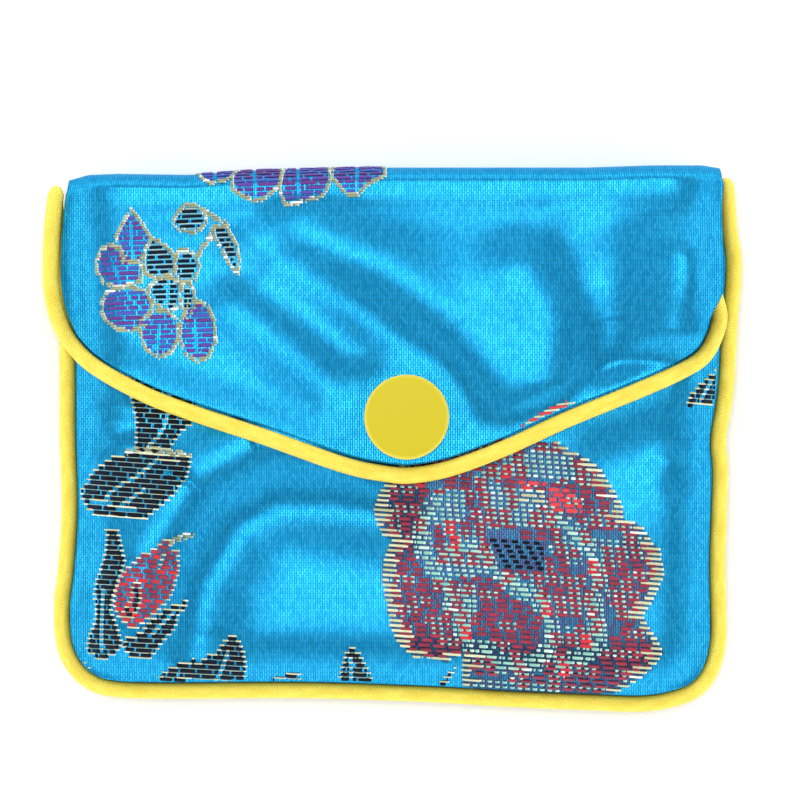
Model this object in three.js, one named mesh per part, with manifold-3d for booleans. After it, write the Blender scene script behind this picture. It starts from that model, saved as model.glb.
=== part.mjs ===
// A small padded brocade pouch for jewellery, lying on its back with the flap snapped shut.
// One cloth makes the back, the fold and the flap; a second one makes the front of the pocket.
// A cord piping runs round the body's seam, another round the flap's edge, and a plastic press
// stud holds the flap. Millimetres; x runs across, y from the bottom seam up to the fold, and z
// from the table up to the face. While it is shaped, y is 0 at the fold and negative below it.

import * as THREE from 'three';
import { mergeVertices } from 'three/addons/utils/BufferGeometryUtils.js';
import Module from 'manifold-3d';

// Overall sizes
const POUCH_WIDTH = 95.6; // from side seam to side seam
const BODY_HEIGHT = 76.8; // from the fold to the bottom seam
const FLAP_LENGTH = 44.7; // from the fold to the piping at the flap's tip
const MOUTH_SETBACK = 8.4; // from the fold down to the front's open top edge

// Cloth and piping
const WALL = 1.5; // padded cloth
const EDGE_WALL = 1.1; // the same cloth, pressed flat by the stitches at a seam
const SNAP_WALL = 1.0; // the same cloth, pinched by the press stud
const PRESSED_REACH = 6; // from a seam inwards to the full thickness
const PIPING_DIAMETER = 2.4;
const CLEARANCE = 0.3; // between pieces that touch on the real pouch

// How the pouch bulges
const SEAM_HEIGHT = 3.8; // of the piping's centre above the table
const SEAM_DROP = 0.8; // how much lower the seam lies at the fold
const DROP_REACH = 20;
const FRONT_RISE = 4.8; // of the front's face above its seam
const FRONT_SPREAD = 21; // from a seam inwards to the full rise
const BACK_SPREAD = 10; // from a seam inwards to where the back lies flat
const FOLD_SINK = 0.42; // share of the rise that is lost at the fold
const SINK_REACH = 20;
const FOLD_DEPTH = 3.6; // from the fold's crest back to where the cloths run flat
const FOLD_RISE = 1.0; // how far the fold's own stiffness lifts the flap
const RISE_REACH = 9;

// Press stud
const CAP_DIAMETER = 12.4;
const CAP_HEIGHT = 1.4;
const CAP_RIM = 0.55; // height of the cap's straight rim
const CAP_BEVEL = 0.25; // under the rim
const SNAP_FROM_TIP = 8.6; // from the piping at the tip up to the stud's centre
const SNAP_ASIDE = 2.1; // to the right of the pouch's middle
const CLASP_DIAMETER = 9.6; // of the two hidden discs and the inner cap
const SOCKET_HEIGHT = 1.0;
const FLANGE_HEIGHT = 0.4;
const INNER_CAP_HEIGHT = 0.6;
const POST_DIAMETER = 2.4;
const POST_REACH = 0.35; // how far the post and the nub enter the socket
const STUD_GAP = 0.15; // between the stud's parts and the cloth they clamp
const PULL_DEPTH = 1.3; // how far the stud pulls both cloths down
const PULL_REACH = 26;
const FLAT_MARGIN = 3.0; // of level cloth round the cap and round the hidden discs
const DENT_SLOPE = 3.2; // over which the front's dent for the hidden discs runs out

// Mesh fineness
const COLUMNS = 34;
const BACK_ROWS = 10;
const FOLD_ROWS = 6;
const FLAP_ROWS = 18;
const FRONT_COLUMNS = 32;
const FRONT_ROWS = 18;
const END_BIAS = 0.04; // how much finer than in the middle the cloths are near their edges
const SPAN_STEPS = 8; // straight pieces between two points of an outline
const PIPING_SIDES = 8;
const BODY_PIPING_STEPS = 84;
const FLAP_PIPING_STEPS = 80;
const ROUND_SIDES = 24;
const MERGE_DISTANCE = 1e-4; // below which two corners are one

const HALF_WIDTH = POUCH_WIDTH / 2;
const PIPING_RADIUS = PIPING_DIAMETER / 2;
const EDGE_INSET = PIPING_RADIUS + CLEARANCE;
const CAP_RADIUS = CAP_DIAMETER / 2;
const CLASP_RADIUS = CLASP_DIAMETER / 2;
const POST_RADIUS = POST_DIAMETER / 2;
// The flap lies on its piping, whose middle is level with the middle of the flap's edge.
const FLAP_LIFT = EDGE_INSET - EDGE_WALL / 2;
const SNAP = new THREE.Vector2(SNAP_ASIDE, SNAP_FROM_TIP - FLAP_LENGTH);
const SNAP_STACK = SOCKET_HEIGHT + FLANGE_HEIGHT + 3 * STUD_GAP;
const FLAT_REACH = CAP_RADIUS + FLAT_MARGIN;
const CLASP_FLAT_REACH = CLASP_RADIUS + FLAT_MARGIN;
const CLASP_DENT_REACH = CLASP_FLAT_REACH + DENT_SLOPE;

// The seam round the body, seen from the front: x is a share of half the width, down a share of
// the body's height. Each list ends where the next begins, in the middle of a bottom corner.
const SEAM = {
  left: [
    { x: -1.012, down: 0.014 },
    { x: -1.012, down: 0.16 },
    { x: -0.998, down: 0.33 },
    { x: -0.996, down: 0.5 },
    { x: -0.99, down: 0.64 },
    { x: -1.0, down: 0.75 },
    { x: -1.014, down: 0.83 },
    { x: -1.008, down: 0.9 },
    { x: -0.978, down: 0.945 },
    { x: -0.93, down: 0.974 },
  ],
  bottom: [
    { x: -0.86, down: 0.989 },
    { x: -0.7, down: 0.993 },
    { x: -0.27, down: 0.992 },
    { x: 0.12, down: 1.0 },
    { x: 0.36, down: 1.009 },
    { x: 0.6, down: 1.015 },
    { x: 0.76, down: 1.018 },
    { x: 0.86, down: 1.009 },
    { x: 0.937, down: 0.988 },
  ],
  right: [
    { x: 0.982, down: 0.948 },
    { x: 1.0, down: 0.895 },
    { x: 1.0, down: 0.83 },
    { x: 0.998, down: 0.735 },
    { x: 1.006, down: 0.58 },
    { x: 1.0, down: 0.515 },
    { x: 1.016, down: 0.452 },
    { x: 1.026, down: 0.4 },
    { x: 1.036, down: 0.29 },
    { x: 1.048, down: 0.18 },
    { x: 1.034, down: 0.105 },
    { x: 1.024, down: 0.014 },
  ],
};

// The flap's edge: x as above, down a share of the flap's length.
const FLAP_EDGE = {
  left: [
    { x: -1.03, down: 0.075 },
    { x: -1.04, down: 0.17 },
    { x: -1.046, down: 0.31 },
    { x: -1.042, down: 0.4 },
    { x: -1.022, down: 0.49 },
    { x: -0.98, down: 0.57 },
  ],
  bottom: [
    { x: -0.905, down: 0.645 },
    { x: -0.76, down: 0.731 },
    { x: -0.62, down: 0.79 },
    { x: -0.39, down: 0.872 },
    { x: -0.15, down: 0.963 },
    { x: -0.025, down: 0.992 },
    { x: 0.06, down: 0.998 },
    { x: 0.18, down: 0.974 },
    { x: 0.345, down: 0.908 },
    { x: 0.53, down: 0.817 },
    { x: 0.77, down: 0.712 },
    { x: 0.89, down: 0.653 },
  ],
  right: [
    { x: 0.95, down: 0.61 },
    { x: 0.984, down: 0.55 },
    { x: 1.004, down: 0.475 },
    { x: 1.012, down: 0.385 },
    { x: 1.01, down: 0.25 },
    { x: 1.008, down: 0.13 },
    { x: 1.014, down: 0.03 },
  ],
};
// On the right the cloth rolls over the flap's piping and hides it: first it rises, then it moves
// out over the piping. These are shares of the flap's length, on the way up from the tip.
const ROLL = { riseFrom: 0.64, riseTo: 0.52, moveFrom: 0.5, moveTo: 0.38, pipingEnd: 0.12 };
const CORD_BEND = 0.55; // how far the cord swings out at the fold, as a share of its drop there
const ROLL_REACH = 14; // how far in from the edge the rolled cloth stays lifted
const ROLL_SLOPE = 1.22; // the piping leans on a slope, so the cloth over it needs more room

// The fold's crest: x a share of half the width, up in shares of the body's height.
const CREST = [
  { x: -1.01, up: -0.02 },
  { x: -0.94, up: -0.008 },
  { x: -0.85, up: -0.006 },
  { x: -0.63, up: -0.008 },
  { x: -0.42, up: 0.001 },
  { x: -0.1, up: 0.006 },
  { x: 0.6, up: 0.006 },
  { x: 0.8, up: 0.01 },
  { x: 0.96, up: 0.01 },
  { x: 1.02, up: 0.004 },
];

// Soft folds in the front: each runs from one end to the other, x a share of half the width, down
// and width shares of the body's height, and rise its height, negative for a valley.
const FRONT_FOLDS = [
  { x0: -0.18, down0: 0.7, x1: -0.62, down1: 0.82, width: 0.1, rise: 0.45 },
  { x0: -0.12, down0: 0.6, x1: -0.6, down1: 0.68, width: 0.07, rise: -0.3 },
  { x0: -1.0, down0: 0.5, x1: -0.82, down1: 0.51, width: 0.018, rise: 0.42 },
  { x0: -1.0, down0: 0.545, x1: -0.78, down1: 0.55, width: 0.02, rise: -0.35 },
  { x0: -1.0, down0: 0.69, x1: -0.86, down1: 0.69, width: 0.022, rise: 0.32 },
  { x0: -1.0, down0: 0.75, x1: -0.88, down1: 0.75, width: 0.02, rise: -0.36 },
  { x0: -1.0, down0: 0.81, x1: -0.88, down1: 0.82, width: 0.022, rise: 0.3 },
  { x0: 1.0, down0: 0.56, x1: 0.8, down1: 0.555, width: 0.022, rise: 0.34 },
  { x0: 1.0, down0: 0.61, x1: 0.84, down1: 0.6, width: 0.02, rise: -0.26 },
  { x0: 0.98, down0: 0.76, x1: 0.74, down1: 0.73, width: 0.05, rise: -0.3 },
  { x0: 0.62, down0: 0.99, x1: 0.6, down1: 0.93, width: 0.03, rise: -0.35 },
  { x0: 0.8, down0: 0.98, x1: 0.72, down1: 0.9, width: 0.035, rise: 0.35 },
];

// Soft folds in the flap, drawn in towards the stud: down and width are shares of its length.
const FLAP_FOLDS = [
  { x0: -0.22, down0: 0.6, x1: -0.02, down1: 0.84, width: 0.1, rise: 0.6 },
  { x0: -0.52, down0: 0.68, x1: -0.18, down1: 0.92, width: 0.1, rise: 0.62 },
  { x0: -0.32, down0: 0.72, x1: -0.1, down1: 0.9, width: 0.06, rise: -0.42 },
  { x0: 0.26, down0: 0.52, x1: 0.4, down1: 0.84, width: 0.11, rise: 0.62 },
  { x0: 0.02, down0: 0.52, x1: 0.22, down1: 0.8, width: 0.09, rise: -0.5 },
  { x0: 0.5, down0: 0.5, x1: 0.56, down1: 0.8, width: 0.08, rise: -0.42 },
  { x0: -0.9, down0: 0.3, x1: -0.6, down1: 0.36, width: 0.16, rise: 0.3 },
  { x0: 0.62, down0: 0.22, x1: 0.95, down1: 0.3, width: 0.14, rise: 0.35 },
];
const FOLD_END = 0.22; // share of a fold's length over which each end dies away
const FOLD_EDGE_REACH = 4.5; // from an edge inwards to a fold's full height

const clamp = (share) => Math.min(Math.max(share, 0), 1);
const smooth = (share) => clamp(share) ** 2 * (3 - 2 * clamp(share));
const pad = (share) => 1 - (1 - clamp(share)) ** 3;
const fade = (share) => (1 - clamp(share)) ** 2;

// Points of a smooth outline through a table's rows, in order.
function outline(rows, length) {
  const points = rows.map((row) => new THREE.Vector2(row.x * HALF_WIDTH, -row.down * length));
  return new THREE.SplineCurve(points).getPoints((rows.length - 1) * SPAN_STEPS);
}

// An outline made of a left, a bottom and a right list, moved inwards by a distance that may
// differ from point to point, and cut into its three stretches again.
function edges(table, length, insetAt) {
  const points = outline([...table.left, ...table.bottom, ...table.right], length);
  const moved = points.map((point, i) => {
    const before = points[Math.max(i - 1, 0)];
    const after = points[Math.min(i + 1, points.length - 1)];
    const along = after.clone().sub(before).normalize();
    const inwards = new THREE.Vector2(-along.y, along.x);
    return point.clone().addScaledVector(inwards, insetAt(point));
  });
  const firstCorner = (table.left.length - 1) * SPAN_STEPS;
  const secondCorner = (table.left.length + table.bottom.length - 1) * SPAN_STEPS;
  return {
    left: moved.slice(0, firstCorner + 1),
    bottom: moved.slice(firstCorner, secondCorner + 1),
    right: moved.slice(secondCorner),
  };
}

// The other coordinate of a polyline where one coordinate has a value.
function readLine(points, by, value, wanted) {
  const rising = points.at(-1)[by] > points[0][by];
  const sorted = rising ? points : [...points].reverse();
  if (value <= sorted[0][by]) return sorted[0][wanted];
  for (let i = 1; i < sorted.length; i += 1) {
    if (value <= sorted[i][by]) {
      const share = (value - sorted[i - 1][by]) / (sorted[i][by] - sorted[i - 1][by]);
      return THREE.MathUtils.lerp(sorted[i - 1][wanted], sorted[i][wanted], share);
    }
  }
  return sorted.at(-1)[wanted];
}

// How far the rolled cloth has risen, and how far it has moved out over the piping, from 0 to 1.
function rollStage({ x, y }, from, to) {
  return x > 0 ? smooth((from + y / FLAP_LENGTH) / (from - to)) : 0;
}
const rollRise = (point) => rollStage(point, ROLL.riseFrom, ROLL.riseTo);
const rollMove = (point) => rollStage(point, ROLL.moveFrom, ROLL.moveTo);

const crest = CREST.map((row) => new THREE.Vector2(row.x * HALF_WIDTH, row.up * BODY_HEIGHT));
const crestY = (x) => readLine(crest, 'x', x, 'y');

const seam = edges(SEAM, BODY_HEIGHT, () => 0);
const clothSeam = edges(SEAM, BODY_HEIGHT, () => EDGE_INSET);
const flapEdge = edges(FLAP_EDGE, FLAP_LENGTH, () => 0);
const flapCloth = edges(FLAP_EDGE, FLAP_LENGTH, (point) => (1 - rollMove(point)) * EDGE_INSET);
const flapCordLine = edges(FLAP_EDGE, FLAP_LENGTH, (point) => rollMove(point) * EDGE_INSET);

const snapDistance = (x, y) => Math.hypot(x - SNAP.x, y - SNAP.y);
const seamZ = (y) => SEAM_HEIGHT - SEAM_DROP * fade(-y / DROP_REACH);

// Distances in from the cloth's left, right and bottom edges.
function seamDistances(x, y) {
  return [
    x - readLine(clothSeam.left, 'y', y, 'x'),
    readLine(clothSeam.right, 'y', y, 'x') - x,
    y - readLine(clothSeam.bottom, 'x', x, 'y'),
  ];
}

// How high a table of soft folds stands at a point.
function foldsAt(table, length, x, y) {
  return table.reduce((sum, fold) => {
    const startX = fold.x0 * HALF_WIDTH;
    const startY = -fold.down0 * length;
    const runX = fold.x1 * HALF_WIDTH - startX;
    const runY = -fold.down1 * length - startY;
    const run = Math.hypot(runX, runY);
    const along = ((x - startX) * runX + (y - startY) * runY) / run ** 2;
    const across = ((y - startY) * runX - (x - startX) * runY) / run;
    const ends = smooth((along + FOLD_END) / (2 * FOLD_END))
      * smooth((1 + FOLD_END - along) / (2 * FOLD_END));
    return sum + fold.rise * ends * Math.exp(-((across / (fold.width * length)) ** 2));
  }, 0);
}

// The front's face before the clasp's own dent.
function softFront(x, y) {
  const [left, right, bottom] = seamDistances(x, y);
  const rise = pad(left / FRONT_SPREAD) * pad(right / FRONT_SPREAD) * pad(bottom / FRONT_SPREAD);
  const sink = 1 - FOLD_SINK * fade(-y / SINK_REACH);
  const pull = 1 - smooth((snapDistance(x, y) - FLAT_REACH) / (PULL_REACH - FLAT_REACH));
  const inside = smooth(Math.min(left, right, bottom) / FOLD_EDGE_REACH)
    * smooth((snapDistance(x, y) - FLAT_REACH) / FLAT_REACH);
  return seamZ(y) + CLEARANCE / 2 + EDGE_WALL + FRONT_RISE * rise * sink - PULL_DEPTH * pull * rise
    + inside * foldsAt(FRONT_FOLDS, BODY_HEIGHT, x, y);
}

function frontFace(x, y) {
  const reach = (snapDistance(x, y) - CLASP_FLAT_REACH) / (CLASP_DENT_REACH - CLASP_FLAT_REACH);
  return softFront(x, y) - (SNAP_STACK - FLAP_LIFT) * (1 - smooth(reach));
}

// The cloth's thickness: thin at the seams and under the stud.
function thickness(edgeDistance, x, y, flatReach) {
  const pressed = THREE.MathUtils.lerp(EDGE_WALL, WALL, smooth(edgeDistance / PRESSED_REACH));
  const pinch = 1 - smooth((snapDistance(x, y) - flatReach) / flatReach);
  return THREE.MathUtils.lerp(pressed, SNAP_WALL, pinch);
}

function flapEdgeDistance(x, y) {
  return Math.min(
    x - readLine(flapCloth.left, 'y', y, 'x'),
    readLine(flapCloth.right, 'y', y, 'x') - x,
    y - readLine(flapCloth.bottom, 'x', x, 'y'),
  );
}

const foldRise = (y) => FOLD_RISE * fade(-y / RISE_REACH);

// How much the rolled right edge is lifted over its hidden piping.
function rollLift(x, y) {
  const inwards = readLine(flapEdge.right, 'y', y, 'x') - x - 2 * EDGE_INSET;
  const height = 2 * EDGE_INSET * ROLL_SLOPE - FLAP_LIFT;
  return rollRise({ x, y }) * height * (1 - smooth(inwards / ROLL_REACH));
}

// The flap's underside.
function flapUnder(x, y) {
  const inside = smooth(flapEdgeDistance(x, y) / FOLD_EDGE_REACH)
    * smooth((snapDistance(x, y) - FLAT_REACH) / FLAT_REACH);
  return softFront(x, y) + FLAP_LIFT + foldRise(y) + rollLift(x, y)
    + inside * foldsAt(FLAP_FOLDS, FLAP_LENGTH, x, y);
}

function backFace(x, y) {
  const [left, right, bottom] = seamDistances(x, y).map((d) => 1 - fade(d / BACK_SPREAD));
  return (seamZ(y) - CLEARANCE / 2 - EDGE_WALL) * (1 - left * right * bottom);
}

// A walk along a stretch of points by its length, 0 at its start and 1 at its end.
function rail(points) {
  const lengths = [0];
  points.slice(1).forEach((point, i) => lengths.push(lengths[i] + point.distanceTo(points[i])));
  return (share) => {
    const wanted = clamp(share) * lengths.at(-1);
    const i = Math.max(lengths.findIndex((length) => length >= wanted), 1);
    const part = (wanted - lengths[i - 1]) / (lengths[i] - lengths[i - 1]);
    return points[i - 1].clone().lerp(points[i], part);
  };
}

// The part of a side's points that lies below the crest by a setback, with a point on that level.
function belowCrest(points, setback) {
  const level = (point) => point.y - (crestY(point.x) - setback);
  const kept = points.filter((point) => level(point) < 0);
  const topIsFirst = level(points[0]) >= 0;
  const last = topIsFirst ? kept[0] : kept.at(-1);
  const cut = new THREE.Vector2(last.x, crestY(last.x) - setback);
  return topIsFirst ? [cut, ...kept] : [...kept, cut];
}

// A patch of the plane between a top line, two sides and a bottom line: across and down run from
// 0 to 1, and its sides keep to the outline.
function patch(stretches, setback) {
  const leftSide = belowCrest(stretches.left, setback);
  const rightSide = belowCrest(stretches.right, setback).reverse();
  const [left, right, bottom] = [rail(leftSide), rail(rightSide), rail(stretches.bottom)];
  const [topLeft, topRight] = [leftSide[0], rightSide[0]];
  const top = (across) => {
    const x = THREE.MathUtils.lerp(topLeft.x, topRight.x, across);
    return new THREE.Vector2(x, crestY(x) - setback);
  };
  return (across, down) => {
    const point = top(across).multiplyScalar(1 - down);
    point.addScaledVector(bottom(across), down);
    point.addScaledVector(left(down), 1 - across);
    point.addScaledVector(right(down), across);
    point.addScaledVector(topLeft, -(1 - across) * (1 - down));
    point.addScaledVector(topRight, -across * (1 - down));
    point.addScaledVector(bottom(0), -(1 - across) * down);
    return point.addScaledVector(bottom(1), -across * down);
  };
}

// Shares from 0 to 1 in steps that are finer near both ends.
function finerAtEnds(steps) {
  return Array.from({ length: steps + 1 }, (_, i) => {
    const share = i / steps;
    return share - END_BIAS * Math.sin(2 * Math.PI * share);
  });
}

// A closed cloth between an upper and a lower sheet of points, both rows of columns.
function cloth(upper, lower) {
  const rows = upper.length;
  const columns = upper[0].length;
  const positions = [...upper.flat(), ...lower.flat()].flatMap((point) => point.toArray());
  const at = (sheet, row, column) => (sheet * rows + row) * columns + column;
  const faces = [];
  const quad = (a, b, c, d) => faces.push(a, b, c, a, c, d);
  for (let i = 0; i + 1 < rows; i += 1) {
    for (let j = 0; j + 1 < columns; j += 1) {
      quad(at(0, i, j), at(0, i + 1, j), at(0, i + 1, j + 1), at(0, i, j + 1));
      quad(at(1, i, j), at(1, i, j + 1), at(1, i + 1, j + 1), at(1, i + 1, j));
    }
    quad(at(0, i, 0), at(1, i, 0), at(1, i + 1, 0), at(0, i + 1, 0));
    const end = columns - 1;
    quad(at(0, i, end), at(0, i + 1, end), at(1, i + 1, end), at(1, i, end));
  }
  for (let j = 0; j + 1 < columns; j += 1) {
    quad(at(0, 0, j), at(0, 0, j + 1), at(1, 0, j + 1), at(1, 0, j));
    const end = rows - 1;
    quad(at(0, end, j), at(1, end, j), at(1, end, j + 1), at(0, end, j + 1));
  }
  const geometry = new THREE.BufferGeometry();
  geometry.setAttribute('position', new THREE.Float32BufferAttribute(positions, 3));
  geometry.setIndex(faces);
  return geometry;
}

function frontPanel() {
  const spot = patch(clothSeam, MOUTH_SETBACK);
  const sheets = { upper: [], lower: [] };
  for (const down of finerAtEnds(FRONT_ROWS)) {
    const spots = finerAtEnds(FRONT_COLUMNS).map((across) => spot(across, down));
    const faces = spots.map(({ x, y }) => frontFace(x, y));
    sheets.upper.push(spots.map(({ x, y }, i) => new THREE.Vector3(x, y, faces[i])));
    sheets.lower.push(spots.map(({ x, y }, i) => {
      const edge = Math.min(...seamDistances(x, y));
      return new THREE.Vector3(x, y, faces[i] - thickness(edge, x, y, CLASP_FLAT_REACH));
    }));
  }
  return cloth(sheets.upper, sheets.lower);
}

// One cloth from the bottom seam up the back, round the fold and down to the flap's tip. outer is
// the brocade's side, which faces the table on the back and upwards on the flap.
function backAndFlap() {
  const backSpot = patch(clothSeam, FOLD_DEPTH);
  const flapSpot = patch(flapCloth, FOLD_DEPTH);
  const outer = [];
  const inner = [];
  const acrosses = finerAtEnds(COLUMNS);
  const backWall = (x, y) => THREE.MathUtils.lerp(
    EDGE_WALL,
    WALL,
    smooth(Math.min(...seamDistances(x, y)) / PRESSED_REACH),
  );
  const flapWall = (x, y) => thickness(flapEdgeDistance(x, y), x, y, FLAT_REACH);
  for (const down of finerAtEnds(BACK_ROWS).reverse()) {
    const spots = acrosses.map((across) => backSpot(across, down));
    outer.push(spots.map(({ x, y }) => new THREE.Vector3(x, y, backFace(x, y))));
    inner.push(spots.map(({ x, y }) => new THREE.Vector3(x, y, backFace(x, y) + backWall(x, y))));
  }
  for (let i = 1; i < FOLD_ROWS; i += 1) {
    const turn = Math.PI * (i / FOLD_ROWS - 0.5);
    const arc = (thin) => acrosses.map((across) => {
      const below = backSpot(across, 0);
      const above = flapSpot(across, 0);
      const { x, y } = below.clone().lerp(above, (i / FOLD_ROWS) ** 2);
      const wall = thin * THREE.MathUtils.lerp(
        backWall(below.x, below.y),
        flapWall(above.x, above.y),
        i / FOLD_ROWS,
      );
      const low = backFace(below.x, below.y) + wall;
      const high = flapUnder(above.x, above.y) + flapWall(above.x, above.y) - wall;
      const bend = (FOLD_DEPTH - wall) * Math.cos(turn);
      return new THREE.Vector3(x, y + bend, (low + high + (high - low) * Math.sin(turn)) / 2);
    });
    outer.push(arc(0));
    inner.push(arc(1));
  }
  for (let i = 0; i <= FLAP_ROWS; i += 1) {
    const spots = acrosses.map((across) => flapSpot(across, i / FLAP_ROWS));
    inner.push(spots.map(({ x, y }) => new THREE.Vector3(x, y, flapUnder(x, y))));
    outer.push(spots.map(({ x, y }) => (
      new THREE.Vector3(x, y, flapUnder(x, y) + flapWall(x, y)))));
  }
  return cloth(outer, inner);
}

// A cord of round section along points.
function cord(points, steps) {
  const section = new THREE.Shape(Array.from({ length: PIPING_SIDES }, (_, i) => {
    const turn = 2 * Math.PI * (i / PIPING_SIDES);
    return new THREE.Vector2(Math.cos(turn), Math.sin(turn)).multiplyScalar(PIPING_RADIUS);
  }));
  const extrudePath = new THREE.CatmullRomCurve3(points);
  return new THREE.ExtrudeGeometry(section, { steps, extrudePath, bevelEnabled: false });
}

function bodyPiping() {
  const line = [...seam.left, ...seam.bottom.slice(1), ...seam.right.slice(1)];
  const walk = rail(line);
  const points = Array.from({ length: BODY_PIPING_STEPS }, (_, i) => {
    const { x, y } = walk(i / (BODY_PIPING_STEPS - 1));
    return new THREE.Vector3(x, y, seamZ(y));
  });
  return cord(points, BODY_PIPING_STEPS);
}

// The height of the flap's piping, which lies on the front's face.
function flapCordZ(x, y) {
  const slopeX = softFront(x + 0.5, y) - softFront(x - 0.5, y);
  const slopeY = softFront(x, y + 0.5) - softFront(x, y - 0.5);
  return softFront(x, y) + EDGE_INSET * Math.hypot(1, slopeX, slopeY) + foldRise(y);
}

// The flap's piping turns down over the fold's left end to meet the body's, and stops under the
// rolled cloth on the right.
function flapPiping() {
  const shown = flapCordLine.right.filter(({ y }) => y < -ROLL.pipingEnd * FLAP_LENGTH);
  const walk = rail([...flapCordLine.left, ...flapCordLine.bottom.slice(1), ...shown.slice(1)]);
  const points = Array.from({ length: FLAP_PIPING_STEPS }, (_, i) => {
    const { x, y } = walk(i / (FLAP_PIPING_STEPS - 1));
    return new THREE.Vector3(x, y, flapCordZ(x, y));
  });
  const [first] = points;
  const drop = first.z - (seamZ(0) + PIPING_DIAMETER + CLEARANCE);
  const bend = [1, 2 / 3, 1 / 3].map((share) => {
    const turn = share * Math.PI / 2;
    const reach = drop * CORD_BEND * Math.sin(turn);
    return new THREE.Vector3(first.x, first.y + reach, first.z - drop * (1 - Math.cos(turn)));
  });
  return cord([...bend, ...points], FLAP_PIPING_STEPS);
}

// A turned piece about the z axis through a list of radius and height pairs.
function turned(profile) {
  const points = profile.map(([radius, height]) => new THREE.Vector2(radius, height));
  return new THREE.LatheGeometry(points, ROUND_SIDES).rotateX(Math.PI / 2);
}

// Levels up through the press stud, worked out from the cloths that it clamps.
const frontLevel = frontFace(SNAP.x, SNAP.y);
const flangeLevel = frontLevel + STUD_GAP;
const socketLevel = flangeLevel + FLANGE_HEIGHT + STUD_GAP;
const flapLevel = socketLevel + SOCKET_HEIGHT + STUD_GAP;
const capLevel = flapLevel + SNAP_WALL + STUD_GAP;
const innerCapLevel = frontLevel - SNAP_WALL - STUD_GAP;

function snapCap() {
  const postEnd = socketLevel + SOCKET_HEIGHT - POST_REACH - capLevel;
  const shoulder = CAP_HEIGHT - CAP_RIM;
  return turned([
    [0, postEnd],
    [POST_RADIUS, postEnd],
    [POST_RADIUS, 0],
    [CAP_RADIUS - CAP_BEVEL, 0],
    [CAP_RADIUS, CAP_BEVEL],
    [CAP_RADIUS, CAP_RIM],
    [CAP_RADIUS - 0.16 * shoulder, CAP_RIM + 0.42 * shoulder],
    [CAP_RADIUS - 0.62 * shoulder, CAP_RIM + 0.78 * shoulder],
    [CAP_RADIUS * 0.72, CAP_RIM + 0.93 * shoulder],
    [0, CAP_HEIGHT],
  ]);
}

function snapSocket() {
  const bore = POST_RADIUS + CLEARANCE;
  return turned([
    [bore, 0],
    [CLASP_RADIUS, 0],
    [CLASP_RADIUS, SOCKET_HEIGHT * 0.6],
    [CLASP_RADIUS * 0.86, SOCKET_HEIGHT],
    [bore, SOCKET_HEIGHT],
    [bore, 0],
  ]);
}

// The stud on the front: a flange and nub outside, a post through the cloth and a cap inside.
function snapStud() {
  const inside = innerCapLevel - flangeLevel;
  return turned([
    [0, inside - INNER_CAP_HEIGHT],
    [CLASP_RADIUS * 0.8, inside - INNER_CAP_HEIGHT * 0.8],
    [CLASP_RADIUS, inside - INNER_CAP_HEIGHT * 0.3],
    [CLASP_RADIUS, inside],
    [POST_RADIUS, inside],
    [POST_RADIUS, 0],
    [CLASP_RADIUS, 0],
    [CLASP_RADIUS, FLANGE_HEIGHT],
    [POST_RADIUS, FLANGE_HEIGHT],
    [POST_RADIUS, FLANGE_HEIGHT + STUD_GAP + POST_REACH * 0.8],
    [0, FLANGE_HEIGHT + STUD_GAP + POST_REACH],
  ]);
}

const wasm = await Module();
wasm.setup();

function toSolid(geometry) {
  const bare = new THREE.BufferGeometry();
  bare.setAttribute('position', geometry.getAttribute('position'));
  bare.setIndex(geometry.index);
  const merged = mergeVertices(bare, MERGE_DISTANCE);
  return new wasm.Manifold(new wasm.Mesh({
    numProp: 3,
    vertProperties: new Float32Array(merged.attributes.position.array),
    triVerts: new Uint32Array(merged.index.array),
  }));
}

// The cloth with a hole punched for the stud's post, between two levels.
function punched(geometry, low, high) {
  const bore = POST_RADIUS + CLEARANCE;
  const tool = new THREE.CylinderGeometry(bore, bore, high - low, ROUND_SIDES / 2);
  tool.rotateX(Math.PI / 2).translate(SNAP.x, SNAP.y, (low + high) / 2);
  const { numProp, vertProperties, triVerts } = toSolid(geometry).subtract(toSolid(tool)).getMesh();
  const positions = Array.from(
    { length: vertProperties.length / numProp },
    (_, i) => [...vertProperties.subarray(i * numProp, i * numProp + 3)],
  ).flat();
  const cut = new THREE.BufferGeometry();
  cut.setAttribute('position', new THREE.Float32BufferAttribute(positions, 3));
  cut.setIndex([...triVerts]);
  return cut;
}

const brocade = new THREE.MeshStandardMaterial({
  name: 'turquoise_brocade',
  color: 0x1c96c8,
  roughness: 0.45,
  metalness: 0,
});
const satin = new THREE.MeshStandardMaterial({
  name: 'yellow_satin',
  color: 0xf0d95a,
  roughness: 0.5,
  metalness: 0,
});
const plastic = new THREE.MeshStandardMaterial({
  name: 'yellow_plastic',
  color: 0xdecb28,
  roughness: 0.3,
  metalness: 0,
});

const pouch = new THREE.Group();

function add(name, geometry, material, position = new THREE.Vector3()) {
  geometry.computeVertexNormals();
  const mesh = new THREE.Mesh(geometry, material);
  mesh.name = name;
  mesh.position.copy(position);
  pouch.add(mesh);
}

add('back_and_flap', punched(backAndFlap(), flapLevel - STUD_GAP, capLevel + CAP_HEIGHT), brocade);
add('front_panel', punched(frontPanel(), innerCapLevel, flangeLevel), brocade);
add('body_piping', bodyPiping(), satin);
add('flap_piping', flapPiping(), satin);
add('snap_cap', snapCap(), plastic, new THREE.Vector3(SNAP.x, SNAP.y, capLevel));
add('snap_socket', snapSocket(), plastic, new THREE.Vector3(SNAP.x, SNAP.y, socketLevel));
add('snap_stud', snapStud(), plastic, new THREE.Vector3(SNAP.x, SNAP.y, flangeLevel));

// The part's origin is on the table under the middle of the pouch's outline.
const bounds = new THREE.Box3().setFromObject(pouch);
pouch.position.set(
  -(bounds.min.x + bounds.max.x) / 2,
  -(bounds.min.y + bounds.max.y) / 2,
  -bounds.min.z,
);

export default pouch;
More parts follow.
